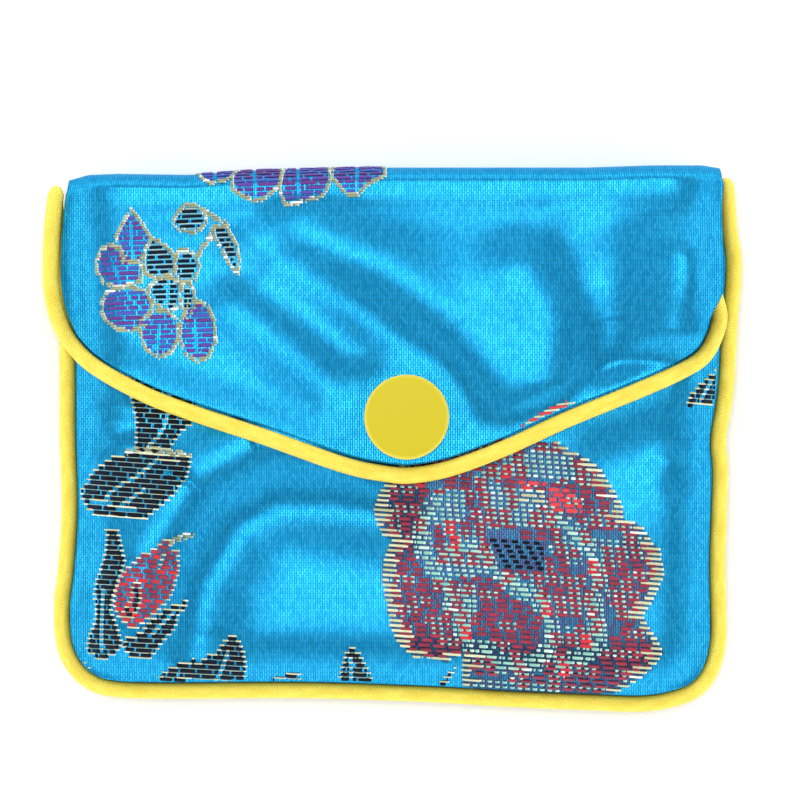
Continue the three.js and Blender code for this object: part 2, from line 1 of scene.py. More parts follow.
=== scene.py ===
"""The look of the padded brocade pouch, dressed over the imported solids.

The cloths, the cordings and the cap are made again with fine meshes on the same surfaces as the
solids, and the brocade's coloured threads are real floats that lie on the cloth. Shapes are
worked out in millimetres with y = 0 at the fold, as in the part's source, and are moved to the
solids' place when their mesh is made.
"""
import math

import bpy
import numpy as np
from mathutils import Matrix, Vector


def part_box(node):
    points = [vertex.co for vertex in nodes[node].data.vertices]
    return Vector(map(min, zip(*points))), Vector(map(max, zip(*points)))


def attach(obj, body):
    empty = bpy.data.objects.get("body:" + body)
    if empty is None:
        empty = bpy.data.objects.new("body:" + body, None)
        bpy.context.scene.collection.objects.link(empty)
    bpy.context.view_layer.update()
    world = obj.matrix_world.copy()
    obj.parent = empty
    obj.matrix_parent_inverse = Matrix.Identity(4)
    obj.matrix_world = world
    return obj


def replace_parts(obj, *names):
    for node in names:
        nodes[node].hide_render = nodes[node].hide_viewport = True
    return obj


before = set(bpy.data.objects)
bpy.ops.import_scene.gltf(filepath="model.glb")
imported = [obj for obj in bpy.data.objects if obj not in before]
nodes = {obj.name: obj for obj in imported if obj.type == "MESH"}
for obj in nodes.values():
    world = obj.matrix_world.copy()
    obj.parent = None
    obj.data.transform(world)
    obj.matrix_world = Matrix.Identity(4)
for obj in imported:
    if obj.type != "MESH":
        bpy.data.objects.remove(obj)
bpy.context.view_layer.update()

# Sizes in millimetres, as in the part's source.
POUCH_WIDTH = 95.6
BODY_HEIGHT = 76.8
FLAP_LENGTH = 44.7
MOUTH_SETBACK = 8.4
WALL = 1.5
EDGE_WALL = 1.1
SNAP_WALL = 1.0
PRESSED_REACH = 6
PIPING_DIAMETER = 2.4
CLEARANCE = 0.3
SEAM_HEIGHT = 3.8
SEAM_DROP = 0.8
DROP_REACH = 20
FRONT_RISE = 3.8
FRONT_SPREAD = 10
BACK_SPREAD = 10
FOLD_SINK = 0.42
SINK_REACH = 20
FOLD_DEPTH = 2.2
FOLD_RISE = 1.0
RISE_REACH = 9
CAP_DIAMETER = 12.4
CAP_HEIGHT = 1.4
CAP_RIM = 0.55
SNAP_FROM_TIP = 8.6
SNAP_ASIDE = 2.1
SNAP_STACK = 1.85
PULL_DEPTH = 0.7
PULL_REACH = 26
CLASP_RADIUS = 4.8
DENT_SLOPE = 3.2
FOLD_END = 0.22
FOLD_EDGE_REACH = 4.5

HALF_WIDTH = POUCH_WIDTH / 2
PIPING_RADIUS = PIPING_DIAMETER / 2
EDGE_INSET = PIPING_RADIUS + CLEARANCE
CLOTH_INSET = PIPING_RADIUS + 0.06  # the body's cloths nearly touch their cord
FLAP_LIFT = EDGE_INSET - EDGE_WALL / 2
SNAP_X = SNAP_ASIDE
SNAP_Y = SNAP_FROM_TIP - FLAP_LENGTH
CAP_RADIUS = CAP_DIAMETER / 2
LEVEL_MARGIN = 0.5  # of level cloth round the cap
EDGE_EASE = 1.6  # reach over which the padding sets out from the seam
FOLD_EASE = 4.0  # reach over which the flap levels out before the fold
SPAN_STEPS = 12  # straight pieces between two points of an outline

# The seam round the body: x in half widths, down in body heights.
SEAM = {
    "left": [
        (-1.012, 0.014), (-1.012, 0.16), (-0.998, 0.33), (-0.996, 0.5), (-0.99, 0.64),
        (-1.0, 0.75), (-1.014, 0.83), (-1.008, 0.9), (-0.978, 0.945), (-0.93, 0.974),
    ],
    "bottom": [
        (-0.86, 0.989), (-0.7, 0.993), (-0.27, 0.992), (0.12, 1.0), (0.36, 1.009),
        (0.6, 1.015), (0.76, 1.018), (0.86, 1.009), (0.937, 0.988),
    ],
    "right": [
        (0.982, 0.948), (1.0, 0.895), (1.0, 0.83), (0.998, 0.735), (1.006, 0.58),
        (1.0, 0.515), (1.016, 0.452), (1.026, 0.4), (1.036, 0.29), (1.048, 0.18),
        (1.034, 0.105), (1.024, 0.014),
    ],
}

# The flap's edge: x in half widths, down in flap lengths.
FLAP_EDGE = {
    "left": [
        (-1.03, 0.075), (-1.04, 0.17), (-1.046, 0.31), (-1.042, 0.4), (-1.022, 0.49),
        (-0.98, 0.57),
    ],
    "bottom": [
        (-0.905, 0.645), (-0.76, 0.731), (-0.62, 0.79), (-0.39, 0.872), (-0.15, 0.963),
        (-0.025, 0.992), (0.06, 0.998), (0.18, 0.974), (0.345, 0.908), (0.53, 0.817),
        (0.77, 0.712), (0.89, 0.653),
    ],
    "right": [
        (0.95, 0.61), (0.984, 0.55), (1.004, 0.475), (1.012, 0.385), (1.01, 0.25),
        (1.008, 0.13), (1.014, 0.03),
    ],
}
ROLL = {"rise_from": 0.64, "rise_to": 0.52, "move_from": 0.5, "move_to": 0.38}
CORD_END = -13.0  # height where the flap's cord ends under the rolled cloth
ROLL_SETTLE = 8.0  # reach over which the rolled cloth settles above the cord's end
ROLL_REST = 0.35  # share of the roll's height that stays there
ROLL_REACH = 14
ROLL_SLOPE = 1.22
CORD_BEND = 0.55

# The fold's crest: x in half widths, up in body heights.
CREST = [
    (-1.01, -0.02), (-0.94, -0.008), (-0.85, -0.006), (-0.63, -0.008), (-0.42, 0.001),
    (-0.1, 0.006), (0.6, 0.006), (0.8, 0.01), (0.96, 0.01), (1.02, 0.004),
]

# Small puckers of the body's sides: from (x0, down0) to (x1, down1), with a width and a rise in
# millimetres, which is negative for a valley; the places and the width are shares of its height.
FRONT_FOLDS = [
    (-1.0, 0.5, -0.82, 0.51, 0.018, 0.42), (-1.0, 0.545, -0.78, 0.55, 0.02, -0.35),
    (-1.0, 0.69, -0.86, 0.69, 0.022, 0.32), (-1.0, 0.75, -0.88, 0.75, 0.02, -0.36),
    (-1.0, 0.81, -0.88, 0.82, 0.022, 0.3), (1.0, 0.56, 0.8, 0.555, 0.022, 0.34),
    (1.0, 0.61, 0.84, 0.6, 0.02, -0.26), (0.98, 0.76, 0.74, 0.73, 0.05, -0.3),
]

# Falls of the cloth: along a line of the chart, how far the cloth falls over a width on the
# line's lower side and comes back slowly beyond, in millimetres.
FLAP_FALLS = [
    {"line": [(290, 250), (372, 292), (438, 346), (478, 398)], "width": 4.6, "fall": 1.6},
    {"line": [(246, 292), (296, 328), (352, 374)], "width": 3.8, "fall": 1.25},
    {"line": [(546, 262), (572, 326), (580, 372)], "width": 5.0, "fall": -1.6},
    {"line": [(590, 350), (650, 330), (700, 306)], "width": 9.0, "fall": 1.3},
]
FRONT_FALLS = [
    {"line": [(385, 484), (330, 476), (270, 474), (218, 502), (176, 572), (166, 625)],
     "width": 5.2, "fall": 2.8},
    {"line": [(600, 440), (660, 420), (712, 410)], "width": 4.5, "fall": 0.8},
    {"line": [(72, 428), (100, 430), (128, 434)], "width": 1.8, "fall": 0.6},
    {"line": [(72, 392), (100, 392), (128, 400)], "width": 2.0, "fall": 0.6},
]
FALL_END = 8.0  # reach beyond a fall's ends over which it dies away


def smooth(share):
    share = np.clip(share, 0, 1)
    return share * share * (3 - 2 * share)


def pad(share):
    return 1 - (1 - np.clip(share, 0, 1)) ** 3


def fade(share):
    return (1 - np.clip(share, 0, 1)) ** 2


def eased(distance, reach):
    """A distance that sets out from 0 gently, over a reach on both sides of it."""
    near = np.clip(distance + reach, 0, 2 * reach) ** 2 / (4 * reach)
    return np.where(distance > reach, distance, near)


def mix(low, high, share):
    return low + (high - low) * share


# Places

SHIFT = np.array([0.0, 0.0, 0.0])
snap_low, snap_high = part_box("snap_cap")
SHIFT[0] = (snap_low[0] + snap_high[0]) * 500 - SNAP_X
SHIFT[1] = (snap_low[1] + snap_high[1]) * 500 - SNAP_Y

CHART_UNIT = 0.1464  # millimetres; the charts were drawn with x to the right and y down
CHART_X = 392.5  # the chart's place of the part's x = 0 and of its origin's y
CHART_Y = 439


def charted(points):
    """Points of a chart as millimetres on the cloth."""
    grid = np.array(points, float)
    return np.column_stack([
        (grid[:, 0] - CHART_X) * CHART_UNIT - SHIFT[0],
        (CHART_Y - grid[:, 1]) * CHART_UNIT - SHIFT[1],
    ])


# Outlines

def outline(rows, length):
    """A smooth line through the rows of a table, in millimetres."""
    points = np.array([(x * HALF_WIDTH, -down * length) for x, down in rows])
    ends = np.vstack([points[:1], points, points[-1:]])
    t = np.linspace(0, 1, SPAN_STEPS, endpoint=False)[:, None]
    spans = []
    for a, b, c, d in zip(ends, ends[1:], ends[2:], ends[3:]):
        start, end = (c - a) / 2, (d - b) / 2
        cubic = (2 * b - 2 * c + start + end) * t ** 3
        spans.append(cubic + (3 * c - 3 * b - 2 * start - end) * t ** 2 + start * t + b)
    return np.vstack([*spans, points[-1:]])


def edges(table, length, inset_at):
    """The left, bottom and right stretches of an outline, moved inwards."""
    points = outline(table["left"] + table["bottom"] + table["right"], length)
    along = np.vstack([points[1:], points[-1:]]) - np.vstack([points[:1], points[:-1]])
    along /= np.linalg.norm(along, axis=1)[:, None]
    inwards = np.column_stack([-along[:, 1], along[:, 0]])
    moved = points + inwards * np.reshape(inset_at(points), (-1, 1))
    first = (len(table["left"]) - 1) * SPAN_STEPS
    second = (len(table["left"]) + len(table["bottom"]) - 1) * SPAN_STEPS
    return {"left": moved[:first + 1], "bottom": moved[first:second + 1], "right": moved[second:]}


def read_line(points, axis, value):
    """The other coordinate of a line where one coordinate has a value."""
    ordered = points if points[-1, axis] > points[0, axis] else points[::-1]
    return np.interp(value, np.maximum.accumulate(ordered[:, axis]), ordered[:, 1 - axis])


def rolled(x, y, start, end):
    return np.where(x > 0, smooth((ROLL[start] + y / FLAP_LENGTH) / (ROLL[start] - ROLL[end])), 0)


def rolled_out(points):
    return rolled(points[:, 0], points[:, 1], "move_from", "move_to")


crest_points = np.array([(x * HALF_WIDTH, up * BODY_HEIGHT) for x, up in CREST])
seam = edges(SEAM, BODY_HEIGHT, lambda points: np.zeros(len(points)))
cloth_seam = edges(SEAM, BODY_HEIGHT, lambda points: np.full(len(points), CLOTH_INSET))
flap_edge = edges(FLAP_EDGE, FLAP_LENGTH, lambda points: np.zeros(len(points)))
flap_cloth = edges(FLAP_EDGE, FLAP_LENGTH, lambda points: (1 - rolled_out(points)) * EDGE_INSET)
flap_cord = edges(FLAP_EDGE, FLAP_LENGTH, lambda points: rolled_out(points) * EDGE_INSET)


def crest_at(x):
    return read_line(crest_points, 0, x)


# Heights of the cloths

def snap_distance(x, y):
    return np.hypot(x - SNAP_X, y - SNAP_Y)


def seam_height(y):
    return SEAM_HEIGHT - SEAM_DROP * fade(-y / DROP_REACH)


def seam_distances(x, y):
    return (
        x - read_line(cloth_seam["left"], 1, y),
        read_line(cloth_seam["right"], 1, y) - x,
        y - read_line(cloth_seam["bottom"], 0, x),
    )


def flap_distance(x, y):
    return np.minimum.reduce([
        x - read_line(flap_cloth["left"], 1, y),
        read_line(flap_cloth["right"], 1, y) - x,
        y - read_line(flap_cloth["bottom"], 0, x),
    ])


def folds_at(table, length, x, y):
    total = 0
    for x0, down0, x1, down1, width, rise in table:
        start_x, start_y = x0 * HALF_WIDTH, -down0 * length
        run_x, run_y = x1 * HALF_WIDTH - start_x, -down1 * length - start_y
        run = math.hypot(run_x, run_y)
        along = ((x - start_x) * run_x + (y - start_y) * run_y) / run ** 2
        across = ((y - start_y) * run_x - (x - start_x) * run_y) / run
        ends = smooth((along + FOLD_END) / (2 * FOLD_END))
        ends = ends * smooth((1 + FOLD_END - along) / (2 * FOLD_END))
        total = total + rise * ends * np.exp(-(across / (width * length)) ** 2)
    return total


def line_gaps(points, line):
    """For each piece of a line: its run, and the way and the distance from it to the points."""
    for start, end in zip(line, line[1:]):
        run = end - start
        share = np.clip((points - start) @ run / (run @ run), 0, 1)
        gap = points - start - share[..., None] * run
        yield run, gap, np.hypot(gap[..., 0], gap[..., 1])


def falls_at(table, x, y):
    """How far the falls of a table lift or sink the cloth at a point."""
    total = 0
    place = np.stack(np.broadcast_arrays(x, y), axis=-1)
    for row in table:
        line = charted(row["line"])
        nearest = np.full(place.shape[:-1], np.inf)
        side = np.zeros(place.shape[:-1])
        for run, gap, distance in line_gaps(place, line):
            across = (run[0] * gap[..., 1] - run[1] * gap[..., 0]) / np.hypot(*run)
            closer = distance < nearest
            nearest = np.where(closer, distance, nearest)
            side = np.where(closer, across, side)
        upwards = 1 if line[-1, 0] > line[0, 0] else -1
        beyond = np.sqrt(np.maximum(nearest ** 2 - side ** 2, 0))
        share = upwards * side / row["width"]
        fall = row["fall"] * share * np.exp(-share ** 2 / 2)
        total = total + fall * smooth(1 - beyond / FALL_END)
    return total


def away_from_snap(x, y):
    return smooth((snap_distance(x, y) - CAP_RADIUS - LEVEL_MARGIN) / CAP_RADIUS)


def soft_front(x, y):
    left, right, bottom = seam_distances(x, y)
    rise = 1
    for distance in (left, right, bottom):
        rise = rise * pad(eased(distance, EDGE_EASE) / FRONT_SPREAD)
    sink = 1 - FOLD_SINK * fade(-y / SINK_REACH)
    level = CAP_RADIUS + LEVEL_MARGIN
    pull = 1 - smooth((snap_distance(x, y) - level) / (PULL_REACH - level))
    inside = smooth(np.minimum.reduce([left, right, bottom]) / FOLD_EDGE_REACH)
    height = seam_height(y) + CLEARANCE / 2 + EDGE_WALL + FRONT_RISE * rise * sink
    folds = folds_at(FRONT_FOLDS, BODY_HEIGHT, x, y) * away_from_snap(x, y)
    return height - PULL_DEPTH * pull * rise + inside * folds


def front_face(x, y):
    dent = 1 - smooth((snap_distance(x, y) - CLASP_RADIUS - LEVEL_MARGIN) / DENT_SLOPE)
    edge = np.minimum.reduce(seam_distances(x, y))
    falls = falls_at(FRONT_FALLS, x, y) * smooth(edge / FOLD_EDGE_REACH) * away_from_snap(x, y)
    return soft_front(x, y) + falls - (SNAP_STACK - FLAP_LIFT) * dent


def thickness(edge_distance, x, y, level_radius):
    pressed = mix(EDGE_WALL, WALL, smooth(edge_distance / PRESSED_REACH))
    pinch = 1 - smooth((snap_distance(x, y) - level_radius) / level_radius)
    return mix(pressed, SNAP_WALL, pinch)


def flap_under(x, y):
    inwards = read_line(flap_edge["right"], 1, y) - x - 2 * EDGE_INSET
    lift = rolled(x, y, "rise_from", "rise_to") * (2 * EDGE_INSET * ROLL_SLOPE - FLAP_LIFT)
    lift = lift * mix(1, ROLL_REST, smooth((y - CORD_END) / ROLL_SETTLE))
    inside = smooth(flap_distance(x, y) / FOLD_EDGE_REACH) * away_from_snap(x, y)
    return (
        soft_front(x, y) + FLAP_LIFT + FOLD_RISE * fade(-y / RISE_REACH)
        + lift * (1 - smooth(inwards / ROLL_REACH))
        + inside * falls_at(FLAP_FALLS, x, y)
    )


def flap_wall(x, y):
    return thickness(flap_distance(x, y), x, y, CAP_RADIUS)


def back_face(x, y):
    flat = 1
    for distance in seam_distances(x, y):
        flat = flat * (1 - fade(distance / BACK_SPREAD))
    return (seam_height(y) - CLEARANCE / 2 - EDGE_WALL) * (1 - flat)


def back_wall(x, y):
    edge = np.minimum.reduce(seam_distances(x, y))
    return mix(EDGE_WALL, WALL, smooth(edge / PRESSED_REACH))


FOLD_LENGTH = 9.0  # of cloth that goes round the fold


def front_surface(u, v):
    return np.stack([u, v, front_face(u, v)], axis=-1)


def flap_surface(u, v, below_x=None, depth=0.0):
    """The flap's cloth at a distance v along it: up the flap, round the fold and down the back.

    depth is how far below the face the point lies, as a share of the cloth's thickness, and
    below_x is where the back's end of a thread of the fold lies.
    """
    start = crest_at(u) - FOLD_DEPTH
    turned = np.clip((v - start) / FOLD_LENGTH, 0, 1)
    above = np.minimum(v, start)
    below = start - np.maximum(v - start - FOLD_LENGTH, 0)
    x = u if below_x is None else mix(u, below_x, turned ** 0.5)
    low_x = u if below_x is None else below_x
    level = start - (start - above) * smooth((start - above) / FOLD_EASE)
    high = flap_under(u, level) + flap_wall(u, above) * (1 - depth)
    low = back_face(low_x, below) + back_wall(low_x, below) * depth
    thin = mix(flap_wall(u, above), back_wall(low_x, below), turned) * depth
    turn = np.pi * (0.5 - turned)
    y = np.where(v < start, v, np.where(turned < 1, start, below))
    y = y + (FOLD_DEPTH - thin) * np.cos(turn) * (turned > 0) * (turned < 1)
    z = (low + high + (high - low) * np.sin(turn)) / 2
    return np.stack([x, y, z], axis=-1)


def normals(surface, u, v):
    step = 0.05
    across = surface(u + step, v) - surface(u - step, v)
    up = surface(u, v + step) - surface(u, v - step)
    normal = np.cross(across, up)
    return normal / np.linalg.norm(normal, axis=-1, keepdims=True)


# Meshes

def make_piece(name, points, faces, material, attributes=None):
    """A mesh object from points in millimetres, riding on the pouch."""
    mesh = bpy.data.meshes.new(name)
    mesh.from_pydata(((points + SHIFT) / 1000).tolist(), [], [list(face) for face in faces])
    mesh.update()
    mesh.polygons.foreach_set("use_smooth", [True] * len(mesh.polygons))
    for key, values in (attributes or {}).items():
        kind = "FLOAT_VECTOR" if values.ndim == 2 else "FLOAT"
        field = "vector" if values.ndim == 2 else "value"
        mesh.attributes.new(key, kind, "POINT").data.foreach_set(field, values.ravel())
    mesh.materials.append(material)
    piece = bpy.data.objects.new(name, mesh)
    bpy.context.scene.collection.objects.link(piece)
    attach(piece, "root")
    return piece


def quads(a, b, c, d):
    return np.stack([a, b, c, d], axis=-1).reshape(-1, 4)


def shell(upper, lower):
    """Points and faces of a closed cloth between two grids of points."""
    rows, columns = upper.shape[:2]
    points = np.concatenate([upper.reshape(-1, 3), lower.reshape(-1, 3)])
    top = np.arange(rows * columns).reshape(rows, columns)
    under = top + rows * columns
    faces = [
        quads(top[:-1, :-1], top[1:, :-1], top[1:, 1:], top[:-1, 1:]),
        quads(under[:-1, :-1], under[:-1, 1:], under[1:, 1:], under[1:, :-1]),
        quads(top[:-1, 0], under[:-1, 0], under[1:, 0], top[1:, 0]),
        quads(top[:-1, -1], top[1:, -1], under[1:, -1], under[:-1, -1]),
        quads(top[0, :-1], top[0, 1:], under[0, 1:], under[0, :-1]),
        quads(top[-1, :-1], under[-1, :-1], under[-1, 1:], top[-1, 1:]),
    ]
    return points, np.concatenate(faces)


def rail(points):
    """A walk along points by its length, from 0 at the start to 1 at the end."""
    steps = np.linalg.norm(np.diff(points, axis=0), axis=1)
    lengths = np.concatenate([[0], np.cumsum(steps)])

    def walk(share):
        wanted = np.asarray(share) * lengths[-1]
        columns = [np.interp(wanted, lengths, column) for column in points.T]
        return np.stack(columns, axis=-1)

    return walk


def below_crest(points, setback):
    """The part of a side from a setback below the crest down."""
    level = points[:, 1] - (crest_at(points[:, 0]) - setback)
    kept = points[level < 0]
    top_first = level[0] >= 0 or points[0, 1] > points[-1, 1]
    last_x = kept[0, 0] if top_first else kept[-1, 0]
    cut = np.array([[last_x, crest_at(last_x) - setback]])
    return np.vstack([cut, kept] if top_first else [kept, cut])


def patch(stretches, setback, acrosses, downs):
    """A grid of plan points between the crest's setback line, two sides and a bottom."""
    left_side = below_crest(stretches["left"], setback)
    right_side = below_crest(stretches["right"], setback)[::-1]
    left, right, bottom = rail(left_side), rail(right_side), rail(stretches["bottom"])
    across = acrosses[None, :, None]
    down = downs[:, None, None]
    top_x = mix(left_side[0, 0], right_side[0, 0], acrosses)
    top = np.column_stack([top_x, crest_at(top_x) - setback])
    sides = left(downs)[:, None] * (1 - across) + right(downs)[:, None] * across
    ends = top[None] * (1 - down) + bottom(acrosses)[None] * down
    corners = (
        top[0] * (1 - across) * (1 - down) + top[-1] * across * (1 - down)
        + bottom(0.0) * (1 - across) * down + bottom(1.0) * across * down
    )
    return sides + ends - corners


def cloth_attributes(u, v, bloom):
    """The flat cloth's coordinates and the tint of its ground, for both faces of a shell."""
    weave = np.stack([u, v, np.zeros_like(u)], axis=-1).reshape(-1, 3)
    tint = bloom(u, v).ravel().astype(float)
    return {"weave": np.concatenate([weave, weave]), "bloom": np.concatenate([tint, tint])}


COLUMNS = 190
FRONT_ROWS = 150
FLAP_ROWS = 110
FOLD_ROWS = 22
BACK_ROWS = 50


def front_panel(material, bloom):
    acrosses = np.linspace(0, 1, COLUMNS)
    grid = patch(cloth_seam, MOUTH_SETBACK, acrosses, np.linspace(0, 1, FRONT_ROWS))
    x, y = grid[..., 0], grid[..., 1]
    face = front_surface(x, y)
    under = face.copy()
    edge = np.minimum.reduce(seam_distances(x, y))
    under[..., 2] -= thickness(edge, x, y, CLASP_RADIUS + LEVEL_MARGIN)
    points, faces = shell(face, under)
    return make_piece("front_cloth", points, faces, material, cloth_attributes(x, y, bloom))


def back_and_flap(material, bloom):
    acrosses = np.linspace(0, 1, COLUMNS)
    flap = patch(flap_cloth, FOLD_DEPTH, acrosses, np.linspace(1, 0, FLAP_ROWS))
    back = patch(cloth_seam, FOLD_DEPTH, acrosses, np.linspace(0, 1, BACK_ROWS))
    fold_u = np.repeat(flap[-1:, :, 0], FOLD_ROWS, axis=0)
    fold_below = np.repeat(back[:1, :, 0], FOLD_ROWS, axis=0)
    start = crest_at(fold_u) - FOLD_DEPTH
    shares = np.linspace(0, 1, FOLD_ROWS + 2)[1:-1, None]
    fold_v = start + shares * FOLD_LENGTH
    back_start = crest_at(back[..., 0]) - FOLD_DEPTH
    back_v = back_start + FOLD_LENGTH + (back_start - back[..., 1])
    layers = []
    for depth in (0.0, 1.0):
        back_z = back_face(back[..., 0], back[..., 1])
        back_z = back_z + back_wall(back[..., 0], back[..., 1]) * depth
        layers.append(np.concatenate([
            flap_surface(flap[..., 0], flap[..., 1], None, depth),
            flap_surface(fold_u, fold_v, fold_below, depth),
            np.dstack([back, back_z]),
        ]))
    u = np.concatenate([flap[..., 0], fold_u, back[..., 0]])
    v = np.concatenate([flap[..., 1], fold_v, back_v])
    points, faces = shell(layers[1], layers[0])
    attributes = cloth_attributes(u, v, bloom)
    return make_piece("back_and_flap_cloth", points, faces, material, attributes)


def tube(name, centres, radius, material):
    """A closed round cord along points, with its own coordinates round it and along it."""
    tangents = np.gradient(centres, axis=0)
    tangents /= np.linalg.norm(tangents, axis=1)[:, None]
    sideways = np.cross(tangents, [0, 0, 1.0])
    sideways /= np.linalg.norm(sideways, axis=1)[:, None]
    upwards = np.cross(sideways, tangents)
    turn = np.linspace(0, 2 * np.pi, CORD_SIDES, endpoint=False)[None, :, None]
    ring = np.cos(turn) * sideways[:, None] + np.sin(turn) * upwards[:, None]
    steps = np.linalg.norm(np.diff(centres, axis=0), axis=1)
    along = np.concatenate([[0], np.cumsum(steps)])
    to_end = np.clip(np.minimum(along, along[-1] - along) / radius, CORD_TIP, 1)
    rounded = np.sqrt(1 - (1 - to_end) ** 2)
    points = centres[:, None] + ring * (radius * rounded)[:, None, None]
    index = np.arange(len(along) * CORD_SIDES).reshape(-1, CORD_SIDES)
    after = np.roll(index, -1, axis=1)
    faces = quads(index[:-1], index[1:], after[1:], after[:-1]).tolist()
    faces += [index[0].tolist(), index[-1, ::-1].tolist()]
    place = np.column_stack([
        np.tile(np.cos(turn).ravel(), len(along)),
        np.tile(np.sin(turn).ravel(), len(along)),
        np.repeat(along, CORD_SIDES),
    ])
    return make_piece(name, points.reshape(-1, 3), faces, material, {"cord": place})


CORD_SIDES = 24
CORD_STEP = 0.45  # between two rings of a cord
CORD_TIP = 0.1  # share of its radius at which a cord's rounded end is cut off


def spread(points):
    """A line of points cut again into even steps."""
    steps = np.linalg.norm(np.diff(points, axis=0), axis=1)
    count = int(steps.sum() / CORD_STEP)
    return rail(points)(np.linspace(0, 1, count))


TUCK = {"aside": 1.3, "reach": 20, "top": 3.0}  # of the body's cord under the flap's


def body_cord_line():
    left = seam["left"][seam["left"][:, 1] < -TUCK["top"]].copy()
    left[:, 0] -= TUCK["aside"] * smooth(1 + left[:, 1] / TUCK["reach"])
    plan = np.vstack([left, seam["bottom"][1:], seam["right"][1:]])
    return spread(np.column_stack([plan, seam_height(plan[:, 1])]))


def flap_cord_height(x, y):
    slope_x = soft_front(x + 0.5, y) - soft_front(x - 0.5, y)
    slope_y = soft_front(x, y + 0.5) - soft_front(x, y - 0.5)
    lift = EDGE_INSET * np.sqrt(1 + slope_x ** 2 + slope_y ** 2)
    return soft_front(x, y) + lift + FOLD_RISE * fade(-y / RISE_REACH)


BEND_STEPS = 8


def flap_cord_line():
    shown = flap_cord["right"][flap_cord["right"][:, 1] < CORD_END]
    plan = np.vstack([flap_cord["left"], flap_cord["bottom"][1:], shown[1:]])
    line = np.column_stack([plan, flap_cord_height(plan[:, 0], plan[:, 1])])
    first = line[0]
    drop = first[2] - (seam_height(0.0) + PIPING_DIAMETER + CLEARANCE)
    turn = np.linspace(1, 1 / BEND_STEPS, BEND_STEPS) * np.pi / 2
    bend = np.column_stack([
        np.full(BEND_STEPS, first[0]),
        first[1] + drop * CORD_BEND * np.sin(turn),
        first[2] - drop * (1 - np.cos(turn)),
    ])
    return spread(np.vstack([bend, line]))


POST_RADIUS = 1.2
CAP_BEVEL = 0.25
SHOULDER = {"in": 0.8, "up": 0.72}  # of the cap's rounded edge
SHOULDER_STEPS = 9
CROWN_DROP = 0.04  # of the cap's top half way out
CAP_SIDES = 96


def round_cap(material):
    """The snap's cap with its post, turned about its axis."""
    level = snap_high[2] * 1000 - CAP_HEIGHT
    turn = np.linspace(0, np.pi / 2, SHOULDER_STEPS)
    profile = np.array([
        (0, snap_low[2] * 1000 - level), (POST_RADIUS, snap_low[2] * 1000 - level),
        (POST_RADIUS, 0), (CAP_RADIUS - CAP_BEVEL, 0), (CAP_RADIUS, CAP_BEVEL),
        *zip(
            CAP_RADIUS - SHOULDER["in"] * (1 - np.cos(turn)),
            CAP_RIM + SHOULDER["up"] * np.sin(turn)),
        (CAP_RADIUS / 2, CAP_HEIGHT - CROWN_DROP), (0, CAP_HEIGHT)])
    angle = np.linspace(0, 2 * np.pi, CAP_SIDES, endpoint=False)
    ring = np.stack([np.cos(angle), np.sin(angle)], axis=-1)
    plan = np.array([SNAP_X, SNAP_Y]) + profile[1:-1, None, :1] * ring
    heights = np.broadcast_to(profile[1:-1, None, 1:] + level, (*plan.shape[:2], 1))
    points = np.concatenate([plan, heights], axis=-1).reshape(-1, 3)
    tips = [(SNAP_X, SNAP_Y, profile[0, 1] + level), (SNAP_X, SNAP_Y, profile[-1, 1] + level)]
    index = np.arange(len(points)).reshape(-1, CAP_SIDES)
    after = np.roll(index, -1, axis=1)
    faces = quads(index[:-1], after[:-1], after[1:], index[1:]).tolist()
    faces += [(len(points), b, a) for a, b in zip(index[0], after[0])]
    faces += [(len(points) + 1, a, b) for a, b in zip(index[-1], after[-1])]
    piece = make_piece("snap_cap_round", np.vstack([points, tips]), faces, material)
    return piece


# The brocade's charts

